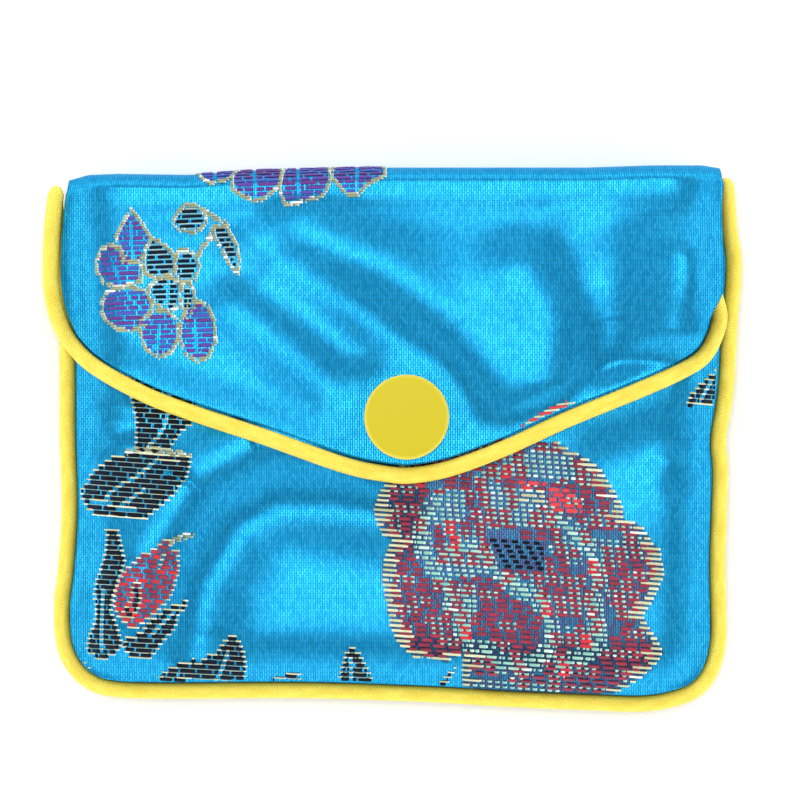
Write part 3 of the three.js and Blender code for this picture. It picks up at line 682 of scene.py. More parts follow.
# Each motif: its cloth, the kind of weave, the tilt of its rows in degrees, its outline, or the
# line of a stem, and its veins.
MOTIFS = [
    ("flap", "petal", 2, [
        (132, 211), (124, 224), (117, 238), (121, 248), (124, 262), (142, 262), (145, 252),
        (152, 240), (143, 224)], [[(132, 225), (134, 262)]]),
    ("flap", "petal", 2, [
        (112, 246), (103, 250), (98, 262), (98, 272), (105, 283), (118, 288), (130, 285),
        (142, 282), (142, 264), (128, 262), (122, 250)], [[(112, 258), (122, 286)]]),
    ("flap", "petal", 2, [
        (110, 291), (104, 301), (103, 312), (108, 322), (118, 329), (132, 331), (145, 326),
        (150, 318), (153, 305), (148, 292), (130, 288)], [[(128, 296), (141, 308)]]),
    ("flap", "petal", 2, [
        (150, 313), (142, 322), (142, 338), (148, 350), (160, 357), (172, 352), (179, 340),
        (179, 320), (168, 312)], [[(161, 325), (158, 352)]]),
    ("flap", "petal", 2, [
        (196, 301), (188, 308), (182, 322), (181, 340), (187, 354), (198, 361), (209, 357),
        (216, 342), (215, 322), (208, 306)], [[(196, 322), (198, 352)]]),
    ("flap", "leaflet", 2, [
        (152, 240), (147, 250), (145, 262), (147, 274), (158, 279), (168, 276), (177, 270),
        (176, 258), (170, 250), (160, 242)], []),
    ("flap", "leaflet", 2, [
        (180, 252), (176, 262), (176, 276), (186, 284), (196, 279), (200, 266), (197, 256),
        (188, 251)], []),
    ("flap", "leaflet", 2, [
        (160, 279), (150, 288), (151, 298), (160, 306), (170, 312), (180, 306), (182, 294),
        (180, 282), (172, 279)], [[(170, 283), (168, 308)]]),
    ("flap", "leaflet", 2, [
        (184, 284), (182, 296), (183, 308), (188, 317), (194, 310), (196, 296), (192, 286)], []),
    ("flap", "leaflet", 2, [
        (186, 206), (178, 214), (174, 223), (180, 230), (190, 233), (200, 231), (207, 223),
        (205, 213), (197, 206)], []),
    ("flap", "leaflet", 2, [
        (213, 229), (226, 226), (231, 234), (237, 246), (240, 262), (238, 274), (231, 266),
        (224, 252), (217, 240)], []),
    ("flap", "stem", 2, [(203, 211), (212, 217), (222, 221), (229, 228)], []),
    ("flap", "stem", 2, [(214, 230), (211, 239), (204, 247), (199, 256)], []),
    ("front", "stem", -4, [(128, 452), (150, 449), (170, 452), (190, 456)], []),
    ("front", "stem", -4, [(173, 541), (182, 537), (192, 534)], []),
    ("flap", "petal", 2, [
        (203, 176), (211, 182), (224, 180), (233, 174), (236, 160), (230, 146), (214, 142),
        (202, 150), (198, 164)], [[(214, 150), (216, 178)]]),
    ("flap", "petal", 2, [
        (233, 174), (233, 190), (242, 196), (252, 200), (261, 201), (271, 194), (280, 186),
        (283, 168), (278, 146), (258, 138), (240, 146)], [[(254, 150), (256, 196)]]),
    ("flap", "petal", 2, [
        (281, 178), (280, 190), (285, 204), (295, 205), (308, 200), (320, 199), (327, 190),
        (331, 176), (328, 152), (306, 140), (286, 150)], [[(298, 150), (299, 200)]]),
    ("flap", "petal", 2, [
        (332, 176), (339, 186), (347, 196), (358, 195), (366, 186), (376, 180), (385, 174),
        (384, 156), (368, 142), (344, 146), (333, 156)], [[(357, 150), (357, 192)]]),
    ("front", "leaf", -3, [
        (128, 360), (131, 398), (136, 421), (135, 452), (169, 452), (182, 433), (193, 424),
        (198, 405), (196, 380)],
        [[(172, 390), (168, 416), (165, 427), (158, 438), (151, 443), (147, 451)]]),
    ("front", "leaf", -4, [
        (126, 453), (168, 455), (179, 455), (192, 455), (192, 461), (191, 469), (188, 478),
        (180, 488), (174, 497), (165, 504), (152, 515), (145, 521), (96, 516), (87, 509),
        (81, 498), (79, 490), (85, 484), (91, 472), (99, 466), (106, 461), (112, 457)],
        [[(180, 460), (158, 460), (135, 478), (124, 483), (117, 488), (109, 494), (105, 501)],
         [(145, 490), (136, 495), (128, 502), (122, 505)],
         [(91, 501), (106, 502), (119, 508), (136, 509)]]),
    ("front", "leaf", -2, [
        (105, 528), (119, 528), (121, 534), (124, 548), (127, 560), (124, 570), (122, 577),
        (118, 588), (115, 597), (113, 608), (120, 628), (124, 642), (119, 651), (108, 658),
        (96, 658), (85, 650), (87, 641), (90, 631), (95, 621), (96, 609), (94, 594), (96, 581),
        (101, 566), (105, 552), (107, 534)], [[(104, 590), (102, 650)]]),
    ("front", "bud", -4, [
        (170, 535), (163, 540), (155, 547), (149, 551), (141, 554), (135, 561), (130, 565),
        (124, 570), (119, 579), (115, 591), (114, 603), (117, 614), (133, 630), (142, 625),
        (150, 618), (158, 612), (163, 607), (170, 600), (174, 591), (177, 581), (180, 571),
        (180, 551), (173, 546)], [[(165, 553), (163, 558), (160, 567)]]),
    ("front", "leaf", -4, [
        (136, 580), (142, 581), (143, 597), (141, 607), (137, 613), (132, 620), (119, 617),
        (124, 609), (131, 599), (132, 586)], []),
    ("front", "leaf", -4, [
        (161, 611), (155, 616), (149, 621), (145, 626), (140, 632), (127, 636), (122, 645),
        (131, 658), (151, 658), (155, 654), (159, 648), (165, 640), (173, 632), (177, 626),
        (180, 614), (187, 608), (188, 600), (176, 603)], [[(176, 610), (152, 634)]]),
    ("front", "leaf", -3, [
        (66, 645), (72, 653), (80, 660), (86, 664), (91, 670), (98, 678), (104, 685), (119, 687),
        (128, 692), (128, 704), (60, 700)], []),
    ("front", "leaf", -3, [
        (234, 633), (241, 642), (245, 652), (247, 666), (246, 675), (242, 687), (238, 704),
        (150, 704), (155, 691), (159, 677), (163, 671), (173, 665), (193, 659), (200, 661),
        (208, 654), (217, 651), (224, 639)],
        [[(228, 652), (219, 676), (208, 689)], [(178, 676), (200, 684)]]),
    ("front", "leaf", -3, [
        (246, 688), (261, 682), (275, 678), (289, 673), (301, 674), (301, 680), (306, 689),
        (306, 704), (244, 704)], []),
    ("front", "leaf", -2, [
        (352, 645), (360, 652), (365, 662), (370, 672), (375, 684), (376, 704), (332, 704),
        (334, 686), (339, 675), (342, 663), (345, 652)], [[(351, 656), (351, 704)]]),
    ("front", "leaf", -3, [
        (457, 665), (452, 676), (444, 690), (440, 704), (432, 704), (436, 686), (446, 674)], []),
    ("front", "leaf", -5, [
        (740, 362), (718, 367), (713, 372), (709, 375), (703, 381), (698, 384), (694, 390),
        (689, 394), (685, 406), (712, 408), (719, 404), (740, 400)], [[(712, 380), (700, 400)]]),
    ("flap", "sliver", 6, [
        (515, 431), (530, 420), (550, 408), (565, 402), (580, 404), (560, 412), (540, 421),
        (520, 432)], []),
]

# The peony: its outline, the lines between its petals, and the parts that are woven otherwise.
PEONY_TILT = -4
PEONY = [
    (387, 483), (380, 491), (374, 509), (377, 524), (383, 535), (393, 540), (389, 545),
    (384, 560), (383, 580), (384, 591), (388, 606), (390, 625), (397, 640), (403, 647),
    (415, 657), (431, 657), (447, 662), (452, 657), (465, 652), (462, 662), (463, 688),
    (488, 690), (519, 696), (560, 698), (614, 694), (629, 685), (642, 676), (657, 661),
    (662, 651), (657, 640), (648, 627), (642, 616), (649, 605), (656, 591), (663, 576),
    (663, 568), (660, 560), (661, 551), (652, 544), (646, 533), (642, 526), (622, 519),
    (622, 505), (618, 499), (613, 490), (602, 472), (593, 463), (569, 450), (559, 443),
    (539, 444), (500, 436), (470, 440), (430, 452), (400, 466),
]
PEONY_LINES = [
    [(435, 504), (428, 515), (424, 522), (422, 540), (425, 552), (436, 570), (447, 590),
     (452, 605), (462, 622), (465, 640)],
    [(444, 555), (455, 551), (465, 549), (475, 549), (485, 556), (495, 565), (505, 577),
     (520, 590), (531, 593), (540, 600), (546, 612), (549, 629), (550, 640), (547, 652),
     (535, 662), (526, 666), (515, 668), (504, 665), (495, 660), (488, 653), (480, 648)],
    [(551, 517), (570, 530), (588, 545), (592, 555), (595, 568), (597, 580), (596, 589),
     (594, 600), (592, 612), (596, 628), (597, 640), (590, 652), (575, 660), (560, 665)],
    [(466, 592), (465, 640)],
]
PEONY_ZONES = {
    "dotted": [
        [(470, 475), (500, 462), (535, 447), (560, 447), (590, 468), (600, 480), (585, 488),
         (560, 478), (535, 480), (515, 476), (495, 480), (475, 485)],
        [(435, 492), (465, 492), (465, 525), (432, 525)],
        [(477, 484), (512, 484), (550, 500), (550, 530), (500, 528), (480, 505)],
        [(446, 555), (480, 552), (492, 575), (450, 578)],
        [(465, 675), (560, 686), (560, 700), (460, 694)],
    ],
    "pale": [[(518, 490), (545, 490), (545, 506), (518, 504)]],
    "vermilion": [
        [(517, 481), (547, 481), (547, 488), (517, 488)],
        [(547, 487), (565, 487), (583, 503), (583, 513), (550, 512)],
    ],
    "stamen": [[(487, 537), (543, 540), (545, 573), (500, 570)]],
    "bare": [[(487, 528), (520, 528), (520, 540), (487, 540)]],
}

ROW_PITCH = 0.725  # between two wefts of one colour
SAMPLE = 0.1  # between two points where the weave's rule is asked
SHORTEST = 0.25  # float that is woven
GROWTH = 0.15  # of each motif beyond its chart, which closes the seams between motifs
SPREAD = 0.4  # the same for the flap's petals and leaflets, whose outlines are woven wide
OUTLINE_WIDTH = 0.72
STEM_WIDTH = 1.0
dice = np.random.default_rng(7)


def inside(points, shape):
    """Whether points lie inside a closed line."""
    x, y = points[..., 0], points[..., 1]
    found = np.zeros(x.shape, bool)
    for (x0, y0), (x1, y1) in zip(shape, np.roll(shape, -1, axis=0)):
        if y0 != y1:
            crossing = x0 + (y - y0) * (x1 - x0) / (y1 - y0)
            found ^= ((y0 > y) != (y1 > y)) & (x < crossing)
    return found


def line_distance(points, line):
    """The distance from points to a line of points."""
    return np.minimum.reduce([distance for run, gap, distance in line_gaps(points, line)])


def closed(shape):
    return np.vstack([shape, shape[:1]])


class Rows:
    """Sample points on the weft rows across a shape, at a shift of so many row pitches."""

    def __init__(self, shape, tilt, shift, growth=GROWTH):
        turn = math.radians(tilt)
        axes = np.array([[math.cos(turn), math.sin(turn)], [-math.sin(turn), math.cos(turn)]])
        turned = shape @ axes.T
        low, high = turned.min(axis=0), turned.max(axis=0)
        first, last = math.floor(low[1] / ROW_PITCH), math.ceil(high[1] / ROW_PITCH)
        self.numbers = np.arange(first, last + 1)
        self.along = np.arange(low[0] - 1, high[0] + 1, SAMPLE)
        across = (self.numbers + shift) * ROW_PITCH
        self.points = np.stack(np.meshgrid(self.along, across), axis=-1) @ axes
        away = line_distance(self.points, closed(shape))
        self.edge = np.where(inside(self.points, shape), away, -away) + growth
        self.inside = self.edge > 0

    def bricks(self, length, gap, step=0.37, jitter=0.3):
        """Where threads of a length lie, with a gap between them, like bricks in their rows."""
        wander = jitter * dice.random((len(self.numbers), 1))
        phase = (self.along[None] / length + step * self.numbers[:, None] + wander) % 1
        return phase > gap / length

    def floats(self, mask, width, shades):
        """A row for each unbroken run of the mask: its two ends, its width and its shade."""
        steps = np.diff(np.pad(mask.astype(int), ((0, 0), (1, 1))), axis=1)
        row, first = np.nonzero(steps == 1)
        last = np.nonzero(steps == -1)[1] - 1
        kept = (last - first) * SAMPLE > SHORTEST
        row, first, last = row[kept], first[kept], last[kept]
        start, end = self.points[row, first], self.points[row, last]
        shade = shades(row, first, last)
        return np.column_stack([start, end, np.full(len(row), width), shade])


def random_shades(row, first, last):
    return dice.random(len(row))


def shades_between(low, high):
    return lambda row, first, last: low + (high - low) * dice.random(len(row))


FREE_EDGE = 0.3  # of cloth without floats along a seam
FREE_MOUTH = 0.5  # the same along the front's upper edge
CAP_LAP = 1  # reach of the floats under the cap
FREE_CLASP = 2  # of cloth without floats round the snap's hidden parts


def on_cloth(cloth, points):
    """Where the cloth's face is open enough for floats."""
    x, y = points[..., 0], points[..., 1]
    if cloth == "flap":
        on_flap = flap_distance(x, y) > FREE_EDGE
        on_flap &= snap_distance(x, y) > CAP_RADIUS - CAP_LAP
        return on_flap | (y > crest_at(x) - FOLD_DEPTH)
    mouth = crest_at(x) - MOUTH_SETBACK
    edge = np.minimum.reduce(seam_distances(x, y))
    off_clasp = snap_distance(x, y) > CLASP_RADIUS + FREE_CLASP
    return (edge > FREE_EDGE) & (y < mouth - FREE_MOUTH) & off_clasp


floats = {}


def lay(cloth, colour, rows, mask, width, shades=random_shades):
    mask = mask & on_cloth(cloth, rows.points)
    floats.setdefault((cloth, colour), []).append(rows.floats(mask, width, shades))


def near_veins(rows, veins, reach):
    found = np.zeros(rows.inside.shape, bool)
    for vein in veins:
        found |= line_distance(rows.points, charted(vein)) < reach
    return found


# Leaves and buds: the silk, length, gap and width of the body's threads, and the rim of cream.
EDGED = {
    "leaf": {"silk": "navy", "length": 2.5, "gap": 0.14, "rim": 0.75, "rim_thread": 0.27},
    "bud": {"silk": "red", "length": 1.8, "gap": 0.2, "rim": 0.7, "rim_thread": 0.26},
}
BODY_INSET = 0.3
BODY_THREAD = 0.6
BODY_VEIN = 0.2  # half the width of a vein in the body
RIM_VEIN = 0.4  # half the width of a vein's cream threads
FINE_THREAD = 0.1


def weave_edged(cloth, shape, veins, tilt, kind, shades):
    """A body of one silk with a cream rim and cream veins between its rows."""
    row = EDGED[kind]
    main, between = Rows(shape, tilt, 0), Rows(shape, tilt, 0.5)
    body = main.inside & (main.edge > BODY_INSET) & ~near_veins(main, veins, BODY_VEIN)
    body &= main.bricks(row["length"], row["gap"])
    lay(cloth, row["silk"], main, body, BODY_THREAD, shades)
    rim = between.inside & (between.edge < row["rim"]) | near_veins(between, veins, RIM_VEIN)
    lay(cloth, "cream", between, rim & between.inside, row["rim_thread"])
    return between, rim


def weave_leaf(cloth, shape, veins, tilt):
    between, rim = weave_edged(cloth, shape, veins, tilt, "leaf", random_shades)
    lay(cloth, "fine", between, between.inside & ~rim, FINE_THREAD)


def weave_bud(cloth, shape, veins, tilt):
    weave_edged(cloth, shape, veins, tilt, "bud", shades_between(0.1, 1))


def weave_outline(cloth, rows):
    for row_set in rows:
        rim = row_set.inside & (row_set.edge < OUTLINE_WIDTH)
        lay(cloth, "beige", row_set, rim & row_set.bricks(2.2, 0.12), 0.37)


def weave_petal(cloth, shape, veins, tilt):
    main, between = Rows(shape, tilt, 0, SPREAD), Rows(shape, tilt, 0.5, SPREAD)
    body = (main.edge > OUTLINE_WIDTH - 0.1) & ~near_veins(main, veins, 0.16)
    bands = dice.random(len(main.numbers))

    def banded(row, first, last):
        return np.clip(bands[row] + 0.35 * (dice.random(len(row)) - 0.5), 0, 1)

    lay(cloth, "violet", main, body & main.bricks(3.1, 0.12), 0.55, banded)
    weave_outline(cloth, (main, between))


def weave_leaflet(cloth, shape, veins, tilt):
    main, between = Rows(shape, tilt, 0, SPREAD), Rows(shape, tilt, 0.5, SPREAD)
    body = (main.edge > OUTLINE_WIDTH) & ~near_veins(main, veins, 0.2)
    lay(cloth, "navy", main, body & main.bricks(3.4, 0.14), 0.46)
    lay(cloth, "fine", between, between.edge > OUTLINE_WIDTH, 0.14)
    weave_outline(cloth, (main, between))


def weave_stem(cloth, line, veins, tilt):
    for shift in (0, 0.5):
        rows = Rows(line, tilt, shift)
        stem = line_distance(rows.points, line) < STEM_WIDTH / 2
        lay(cloth, "beige", rows, stem & rows.bricks(1.6, 0.12), 0.36)


def weave_sliver(cloth, shape, veins, tilt):
    main, between = Rows(shape, tilt, 0), Rows(shape, tilt, 0.5)
    lay(cloth, "vermilion", main, main.inside, 0.4)
    lay(cloth, "cream", between, between.inside, 0.3)


WEAVES = {
    "leaf": weave_leaf, "bud": weave_bud, "petal": weave_petal, "leaflet": weave_leaflet,
    "sliver": weave_sliver, "stem": weave_stem,
}


def in_zones(rows, zone):
    found = np.zeros(rows.inside.shape, bool)
    for shape in PEONY_ZONES[zone]:
        found |= inside(rows.points, charted(shape))
    return found


def fringe(rows, shortest, longest):
    """Runs of a random length inwards from both ends of each row of the peony."""
    reach = shortest + (longest - shortest) * dice.random((len(rows.numbers), 2))
    found = np.zeros(rows.inside.shape, bool)
    for i, row in enumerate(rows.inside):
        steps = np.flatnonzero(np.diff(np.pad(row.astype(int), 1)))
        for first, last in steps.reshape(-1, 2):
            found[i, first:first + int(reach[i, 0] / SAMPLE)] = True
            found[i, max(last - int(reach[i, 1] / SAMPLE), first):last] = True
    return found & rows.inside


def weave_peony():
    shape = charted(PEONY)
    lines = [charted(line) for line in PEONY_LINES]
    main, between = Rows(shape, PEONY_TILT, 0), Rows(shape, PEONY_TILT, 0.5)
    for rows in (main, between):
        rows.line = np.minimum.reduce([line_distance(rows.points, line) for line in lines])
        rows.zone = {name: in_zones(rows, name) for name in PEONY_ZONES}
    rim = fringe(between, 1.0, 3.4)
    main_rim = fringe(main, 0.9, 2.0)
    for rows in (main, between):
        rows.dotted = rows.zone["dotted"] | (rows.line < 1.6)
    quiet = main.zone["stamen"] | main.zone["bare"] | main.zone["vermilion"] | main.zone["pale"]
    patches = Patches(main, 2.2, 3)
    red = main.inside & ~main_rim & ~quiet & patches.woven(np.where(main.dotted, 0.55, 0.05))
    lay("front", "red", main, red & (patches.luck < 0.95), 0.56, shades_between(0, 0.55))
    lay("front", "red", main, red & (patches.luck >= 0.95), 0.66, shades_between(0.7, 1))
    bright = main.inside & main.zone["vermilion"]
    lay("front", "vermilion", main, bright & main.bricks(2, 0.2), 0.62)
    stamen = main.zone["stamen"] & main.bricks(1.6, 0.55, 0.3, 0.05)
    lay("front", "navy", main, stamen, 0.5)
    cream = rim | between.zone["pale"] & between.bricks(2.6, 0.25)
    lay("front", "cream", between, cream, 0.4)
    mint = between.inside & ~cream & ~between.zone["stamen"] & ~between.zone["bare"]
    along_line = mint & (between.line < 0.85)
    lay("front", "mint", between, along_line & between.bricks(1.9, 0.2), 0.46)
    beads = mint & between.dotted & ~along_line
    lay("front", "mint", between, beads & between.bricks(1.1, 0.3, 0.12, 0.2), 0.42)
    some = Patches(between, 2.7, 2).luck < 0.4
    dashes = mint & ~between.dotted & some
    lay("front", "mint", between, dashes & between.bricks(1.1, 0.42, 0.12, 0.2), 0.36)


class Patches:
    """The peony's red ground is woven in patches of some rows with upright gaps between."""

    def __init__(self, rows, length, together):
        course = (rows.numbers - rows.numbers[0]) // together
        place = rows.along[None] / length + 0.37 * course[:, None]
        cells = np.floor(place).astype(int)
        self.within = place % 1 + 0.3 * (dice.random((len(course), 1)) - 0.5)
        table = dice.random((course.max() + 1, cells.max() - cells.min() + 1))
        self.luck = table[course[:, None], cells - cells.min()]

    def woven(self, bare):
        return (self.within > 0.09) & (self.within < 0.93) & (self.luck > bare)


for cloth, kind, tilt, shape, veins in MOTIFS:
    WEAVES[kind](cloth, charted(shape), veins, tilt)
weave_peony()

# Threads

RING_WIDTHS = np.array([0.5, 0.95, 1, 1, 0.95, 0.5])
RING_LIFTS = np.array([-0.06, 0.06, 0.1, 0.1, 0.06, -0.06])
BLUNT_END = 0.1  # length of a float's rounded end
PAINTED_GLINT_LENGTH = 0.4  # length over which a float brightens towards a painted highlight before its far end
THREAD_SIDES = 6
THREAD_HEIGHT = 0.2  # across the float, off the cloth
LONGEST_END = 0.3  # share of a float that its rounded end may take up
FIRST_RISE = 0.35  # share of a float where it has its full height
# the earliest share of a float where its painted highlight begins
EARLIEST_PAINTED_GLINT = 0.55
THINNEST = 0.92  # share of its width that the thinnest float has
WIDTH_SPREAD = 0.16
FLOAT_OFFSET = 0.37  # in the silk's fibres, between a float and the next


def threads(name, rows, surface, material, painted_end_highlight):
    """One mesh of many short silk floats that lie on a cloth, with their far ends raised to a given
    shade, a painted highlight.
    """
    rows = np.concatenate(rows)
    length = np.hypot(rows[:, 2] - rows[:, 0], rows[:, 3] - rows[:, 1])
    end = np.minimum(BLUNT_END / length, LONGEST_END)
    zero = np.zeros_like(end)
    painted_glint_start = np.maximum(1 - PAINTED_GLINT_LENGTH / length, EARLIEST_PAINTED_GLINT)
    shares = np.stack([zero, end, zero + FIRST_RISE, painted_glint_start, 1 - end, zero + 1], axis=1)
    share = shares[..., None]
    spots = rows[:, None, 0:2] * (1 - share) + rows[:, None, 2:4] * share
    u, v = spots[..., 0], spots[..., 1]
    centre = surface(u, v)
    normal = normals(surface, u, v)
    along = centre[:, -1:] - centre[:, :1]
    along = along / np.linalg.norm(along, axis=-1, keepdims=True)
    side = np.cross(normal, along)
    uneven = THINNEST + WIDTH_SPREAD * dice.random((len(rows), 1))
    width = rows[:, None, 4] * RING_WIDTHS / 2 * uneven
    height = THREAD_HEIGHT / 2 * RING_WIDTHS
    centre = centre + normal * RING_LIFTS[None, :, None]
    turn = np.linspace(0, 2 * np.pi, THREAD_SIDES, endpoint=False)
    points = centre[:, :, None] + (
        side[:, :, None] * (np.cos(turn) * width[..., None])[..., None]
        + normal[:, :, None] * (np.sin(turn) * height[None, :, None])[..., None]
    )
    rings = len(RING_WIDTHS)
    index = np.arange(len(rows) * rings * THREAD_SIDES).reshape(-1, rings, THREAD_SIDES)
    after = np.roll(index, -1, axis=2)
    faces = quads(index[:, :-1], after[:, :-1], after[:, 1:], index[:, 1:]).tolist()
    faces += index[:, 0, ::-1].tolist() + index[:, -1].tolist()
    shade = np.repeat(rows[:, 5:], rings, axis=1)
    # the last two rings take the painted highlight's shade, which the silk's ramp turns near-white
    shade[:, -2:] = np.maximum(shade[:, -2:], painted_end_highlight)
    shade = np.repeat(shade.ravel(), THREAD_SIDES)
    place = np.stack(np.broadcast_arrays(
        (shares * length[:, None])[..., None],
        np.cos(turn) * width[..., None],
        (np.arange(len(rows)) * FLOAT_OFFSET)[:, None, None],
    ), axis=-1).reshape(-1, 3)
    return make_piece(name, points.reshape(-1, 3), faces, material, {"shade": shade, "silk": place})


# Materials

def linear(red, green, blue):
    """A colour given in shares of 0 to 255, as the shader wants it."""
    shares = np.array([red, green, blue]) / 255
    values = np.where(shares <= 0.04045, shares / 12.92, ((shares + 0.055) / 1.055) ** 2.4)
    return (*values.tolist(), 1.0)


class Nodes:
    """A material with the helpers that its node tree needs."""

    def __init__(self, name, roughness):
        self.material = bpy.data.materials.new(name)
        self.material.use_nodes = True
        self.tree = self.material.node_tree
        self.shader = self.tree.nodes["Principled BSDF"]
        self.shader.inputs["Roughness"].default_value = roughness

    def add(self, kind, inputs=None, **settings):
        node = self.tree.nodes.new(kind)
        for key, value in settings.items():
            setattr(node, key, value)
        for key, value in (inputs or {}).items():
            if isinstance(value, bpy.types.NodeSocket):
                self.tree.links.new(value, node.inputs[key])
            else:
                node.inputs[key].default_value = value
        return node

    def link(self, output, key):
        self.tree.links.new(output, self.shader.inputs[key])

    def attribute(self, name):
        return self.add("ShaderNodeAttribute", attribute_name=name)

    def math(self, operation, first, second=0.0):
        node = self.add("ShaderNodeMath", {0: first, 1: second}, operation=operation)
        return node.outputs[0]

    def mix(self, factor, first, second, blend="MIX"):
        node = self.add("ShaderNodeMix", data_type="RGBA", blend_type=blend)
        for key, value in ((0, factor), (6, first), (7, second)):
            if isinstance(value, bpy.types.NodeSocket):
                self.tree.links.new(value, node.inputs[key])
            else:
                node.inputs[key].default_value = value
        return node.outputs[2]

    def ramp(self, factor, stops):
        node = self.add("ShaderNodeValToRGB", {"Fac": factor})
        band = node.color_ramp
        while len(band.elements) < len(stops):
            band.elements.new(0.5)
        for element, (place, colour) in zip(band.elements, stops):
            element.position = place
            element.color = colour
        return node.outputs["Color"]

    def bump(self, height, distance, strength=1.0):
        node = self.add(
            "ShaderNodeBump", {"Height": height, "Distance": distance, "Strength": strength})
        self.link(node.outputs["Normal"], "Normal")


WARP_PITCH = 0.34
WARP_LENGTH = 0.75
WARP_STRETCH = 1.6  # narrows the gaps between the ends of the threads


def warp_bricks(shades, place, bright, mid, dark):
    """The satin's warp threads, which pass over several wefts each, like upright bricks."""
    return shades.add("ShaderNodeTexBrick", {
        "Vector": place, "Color1": linear(*bright), "Color2": linear(*mid),
        "Mortar": linear(*dark), "Scale": 1.0, "Mortar Size": 0.065, "Mortar Smooth": 1.0,
        "Bias": 0.0, "Brick Width": WARP_LENGTH * WARP_STRETCH, "Row Height": WARP_PITCH}, offset=0.5)


def satin_material():
    cloth = Nodes("turquoise_satin", 0.36)
    weave = cloth.add("ShaderNodeSeparateXYZ", {0: cloth.attribute("weave").outputs["Vector"]})
    upright = cloth.add("ShaderNodeCombineXYZ", {
        "X": cloth.math("MULTIPLY", weave.outputs["Y"], WARP_STRETCH),
        "Y": weave.outputs["X"]}).outputs[0]
    ground = warp_bricks(cloth, upright, (40, 166, 216), (24, 142, 194), (2, 88, 140))
    bloom = warp_bricks(cloth, upright, (38, 108, 142), (66, 66, 104), (22, 18, 42))
    tint = cloth.attribute("bloom").outputs["Fac"]
    colour = cloth.mix(tint, ground.outputs["Color"], bloom.outputs["Color"])
    wefts = cloth.math("SINE", cloth.math("MULTIPLY", weave.outputs["Y"], math.tau / ROW_PITCH))
    bands = cloth.ramp(cloth.math("MULTIPLY_ADD", wefts, 0.5), [
        (0.0, (0.92, 0.92, 0.92, 1)), (0.5, (1, 1, 1, 1))])
    cloth.link(cloth.mix(1.0, colour, bands, "MULTIPLY"), "Base Color")
    cloth.bump(cloth.math("SUBTRACT", 1.0, ground.outputs["Fac"]), 0.00004)
    cloth.shader.inputs["Metallic"].default_value = 0.8
    cloth.shader.inputs["Specular Tint"].default_value = linear(120, 215, 255)
    return cloth.material


def silk_material(name, stops, gloss):
    silk = Nodes(name, 0.42)
    shade = silk.attribute("shade").outputs["Fac"]
    place = silk.add("ShaderNodeMapping", {
        "Vector": silk.attribute("silk").outputs["Vector"], "Scale": (1.2, 14, 3)})
    fibre = silk.add("ShaderNodeTexNoise", {
        "Vector": place.outputs[0], "Scale": 1.0, "Detail": 2.0})
    tone = silk.ramp(fibre.outputs["Fac"], [
        (0.3, (0.8, 0.8, 0.8, 1)), (0.7, (1.1, 1.1, 1.1, 1))])
    silk.link(silk.mix(1.0, silk.ramp(shade, stops), tone, "MULTIPLY"), "Base Color")
    silk.bump(fibre.outputs["Fac"], 0.00005)
    silk.shader.inputs["Specular IOR Level"].default_value = gloss
    return silk.material


def cord_material():
    cord = Nodes("yellow_satin_cord", 0.42)
    cord.shader.inputs["Specular IOR Level"].default_value = 0.3
    apart = cord.add("ShaderNodeSeparateXYZ", {0: cord.attribute("cord").outputs["Vector"]})
    turn = cord.math("ARCTAN2", apart.outputs["Y"], apart.outputs["X"])
    ribs = cord.math("MULTIPLY", apart.outputs["Z"], 2 * math.pi / 0.42)
    wave = cord.math("SINE", cord.math("ADD", ribs, cord.math("MULTIPLY", turn, 9.0)))
    spots = cord.add("ShaderNodeMapping", {
        "Vector": cord.attribute("cord").outputs["Vector"], "Scale": (1, 1, 0.25)})
    broad = cord.add("ShaderNodeTexNoise", {"Vector": spots.outputs[0], "Scale": 1.5})
    base = cord.ramp(broad.outputs["Fac"], [
        (0.3, linear(232, 206, 70)), (0.7, linear(244, 224, 92))])
    lines = cord.ramp(cord.math("MULTIPLY_ADD", wave, 0.5), [
        (0.0, (0.9, 0.88, 0.8, 1)), (0.6, (1, 1, 1, 1))])
    cord.link(cord.mix(1.0, base, lines, "MULTIPLY"), "Base Color")
    cord.bump(wave, 0.00003)
    return cord.material


def plastic_material():
    plastic = Nodes("yellow_plastic", 0.4)
    plastic.shader.inputs["Specular IOR Level"].default_value = 0.2
    noise = plastic.add("ShaderNodeTexNoise", {"Scale": 900.0, "Detail": 3.0})
    tone = plastic.ramp(noise.outputs["Fac"], [
        (0.3, linear(192, 175, 26)), (0.7, linear(198, 182, 30))])
    # the cap's colour turns a lighter yellow where its face turns from the camera, at the rounded
    # rim: a painted highlight
    painted_rim_highlight = plastic.add("ShaderNodeLayerWeight", {"Blend": 0.35}).outputs["Facing"]
    plastic.link(plastic.mix(painted_rim_highlight, tone, linear(250, 238, 130)), "Base Color")
    plastic.bump(noise.outputs["Fac"], 0.00001)
    return plastic.material


satin = satin_material()
yellow = cord_material()
plastic = plastic_material()
# The shades of each silk: their place along its ramp and their colour. The near-white top stop of
# cream, beige and mint is the painted highlight at a float's far end, which some floats' random
# shades also reach.
SILKS = {
    "cream": [(0.0, (182, 188, 144)), (0.9, (222, 222, 182)), (1.0, (246, 248, 236))],
    "beige": [(0.0, (126, 142, 112)), (0.9, (172, 176, 138)), (1.0, (250, 252, 246))],
    "mint": [(0.0, (112, 178, 168)), (0.9, (168, 216, 192)), (1.0, (240, 252, 244))],
    "fine": [(0.0, (120, 175, 175)), (1.0, (200, 210, 180))],
    "navy": [(0.0, (2, 8, 20)), (1.0, (8, 18, 40))],
    "red": [(0.0, (118, 28, 58)), (0.6, (158, 34, 60)), (1.0, (206, 30, 44))],
    "vermilion": [(0.0, (204, 42, 56)), (1.0, (232, 66, 72))],
    "violet": [(0.0, (58, 84, 180)), (0.5, (82, 56, 156)), (1.0, (96, 34, 124))],
}
SILK_GLOSS = 0.4
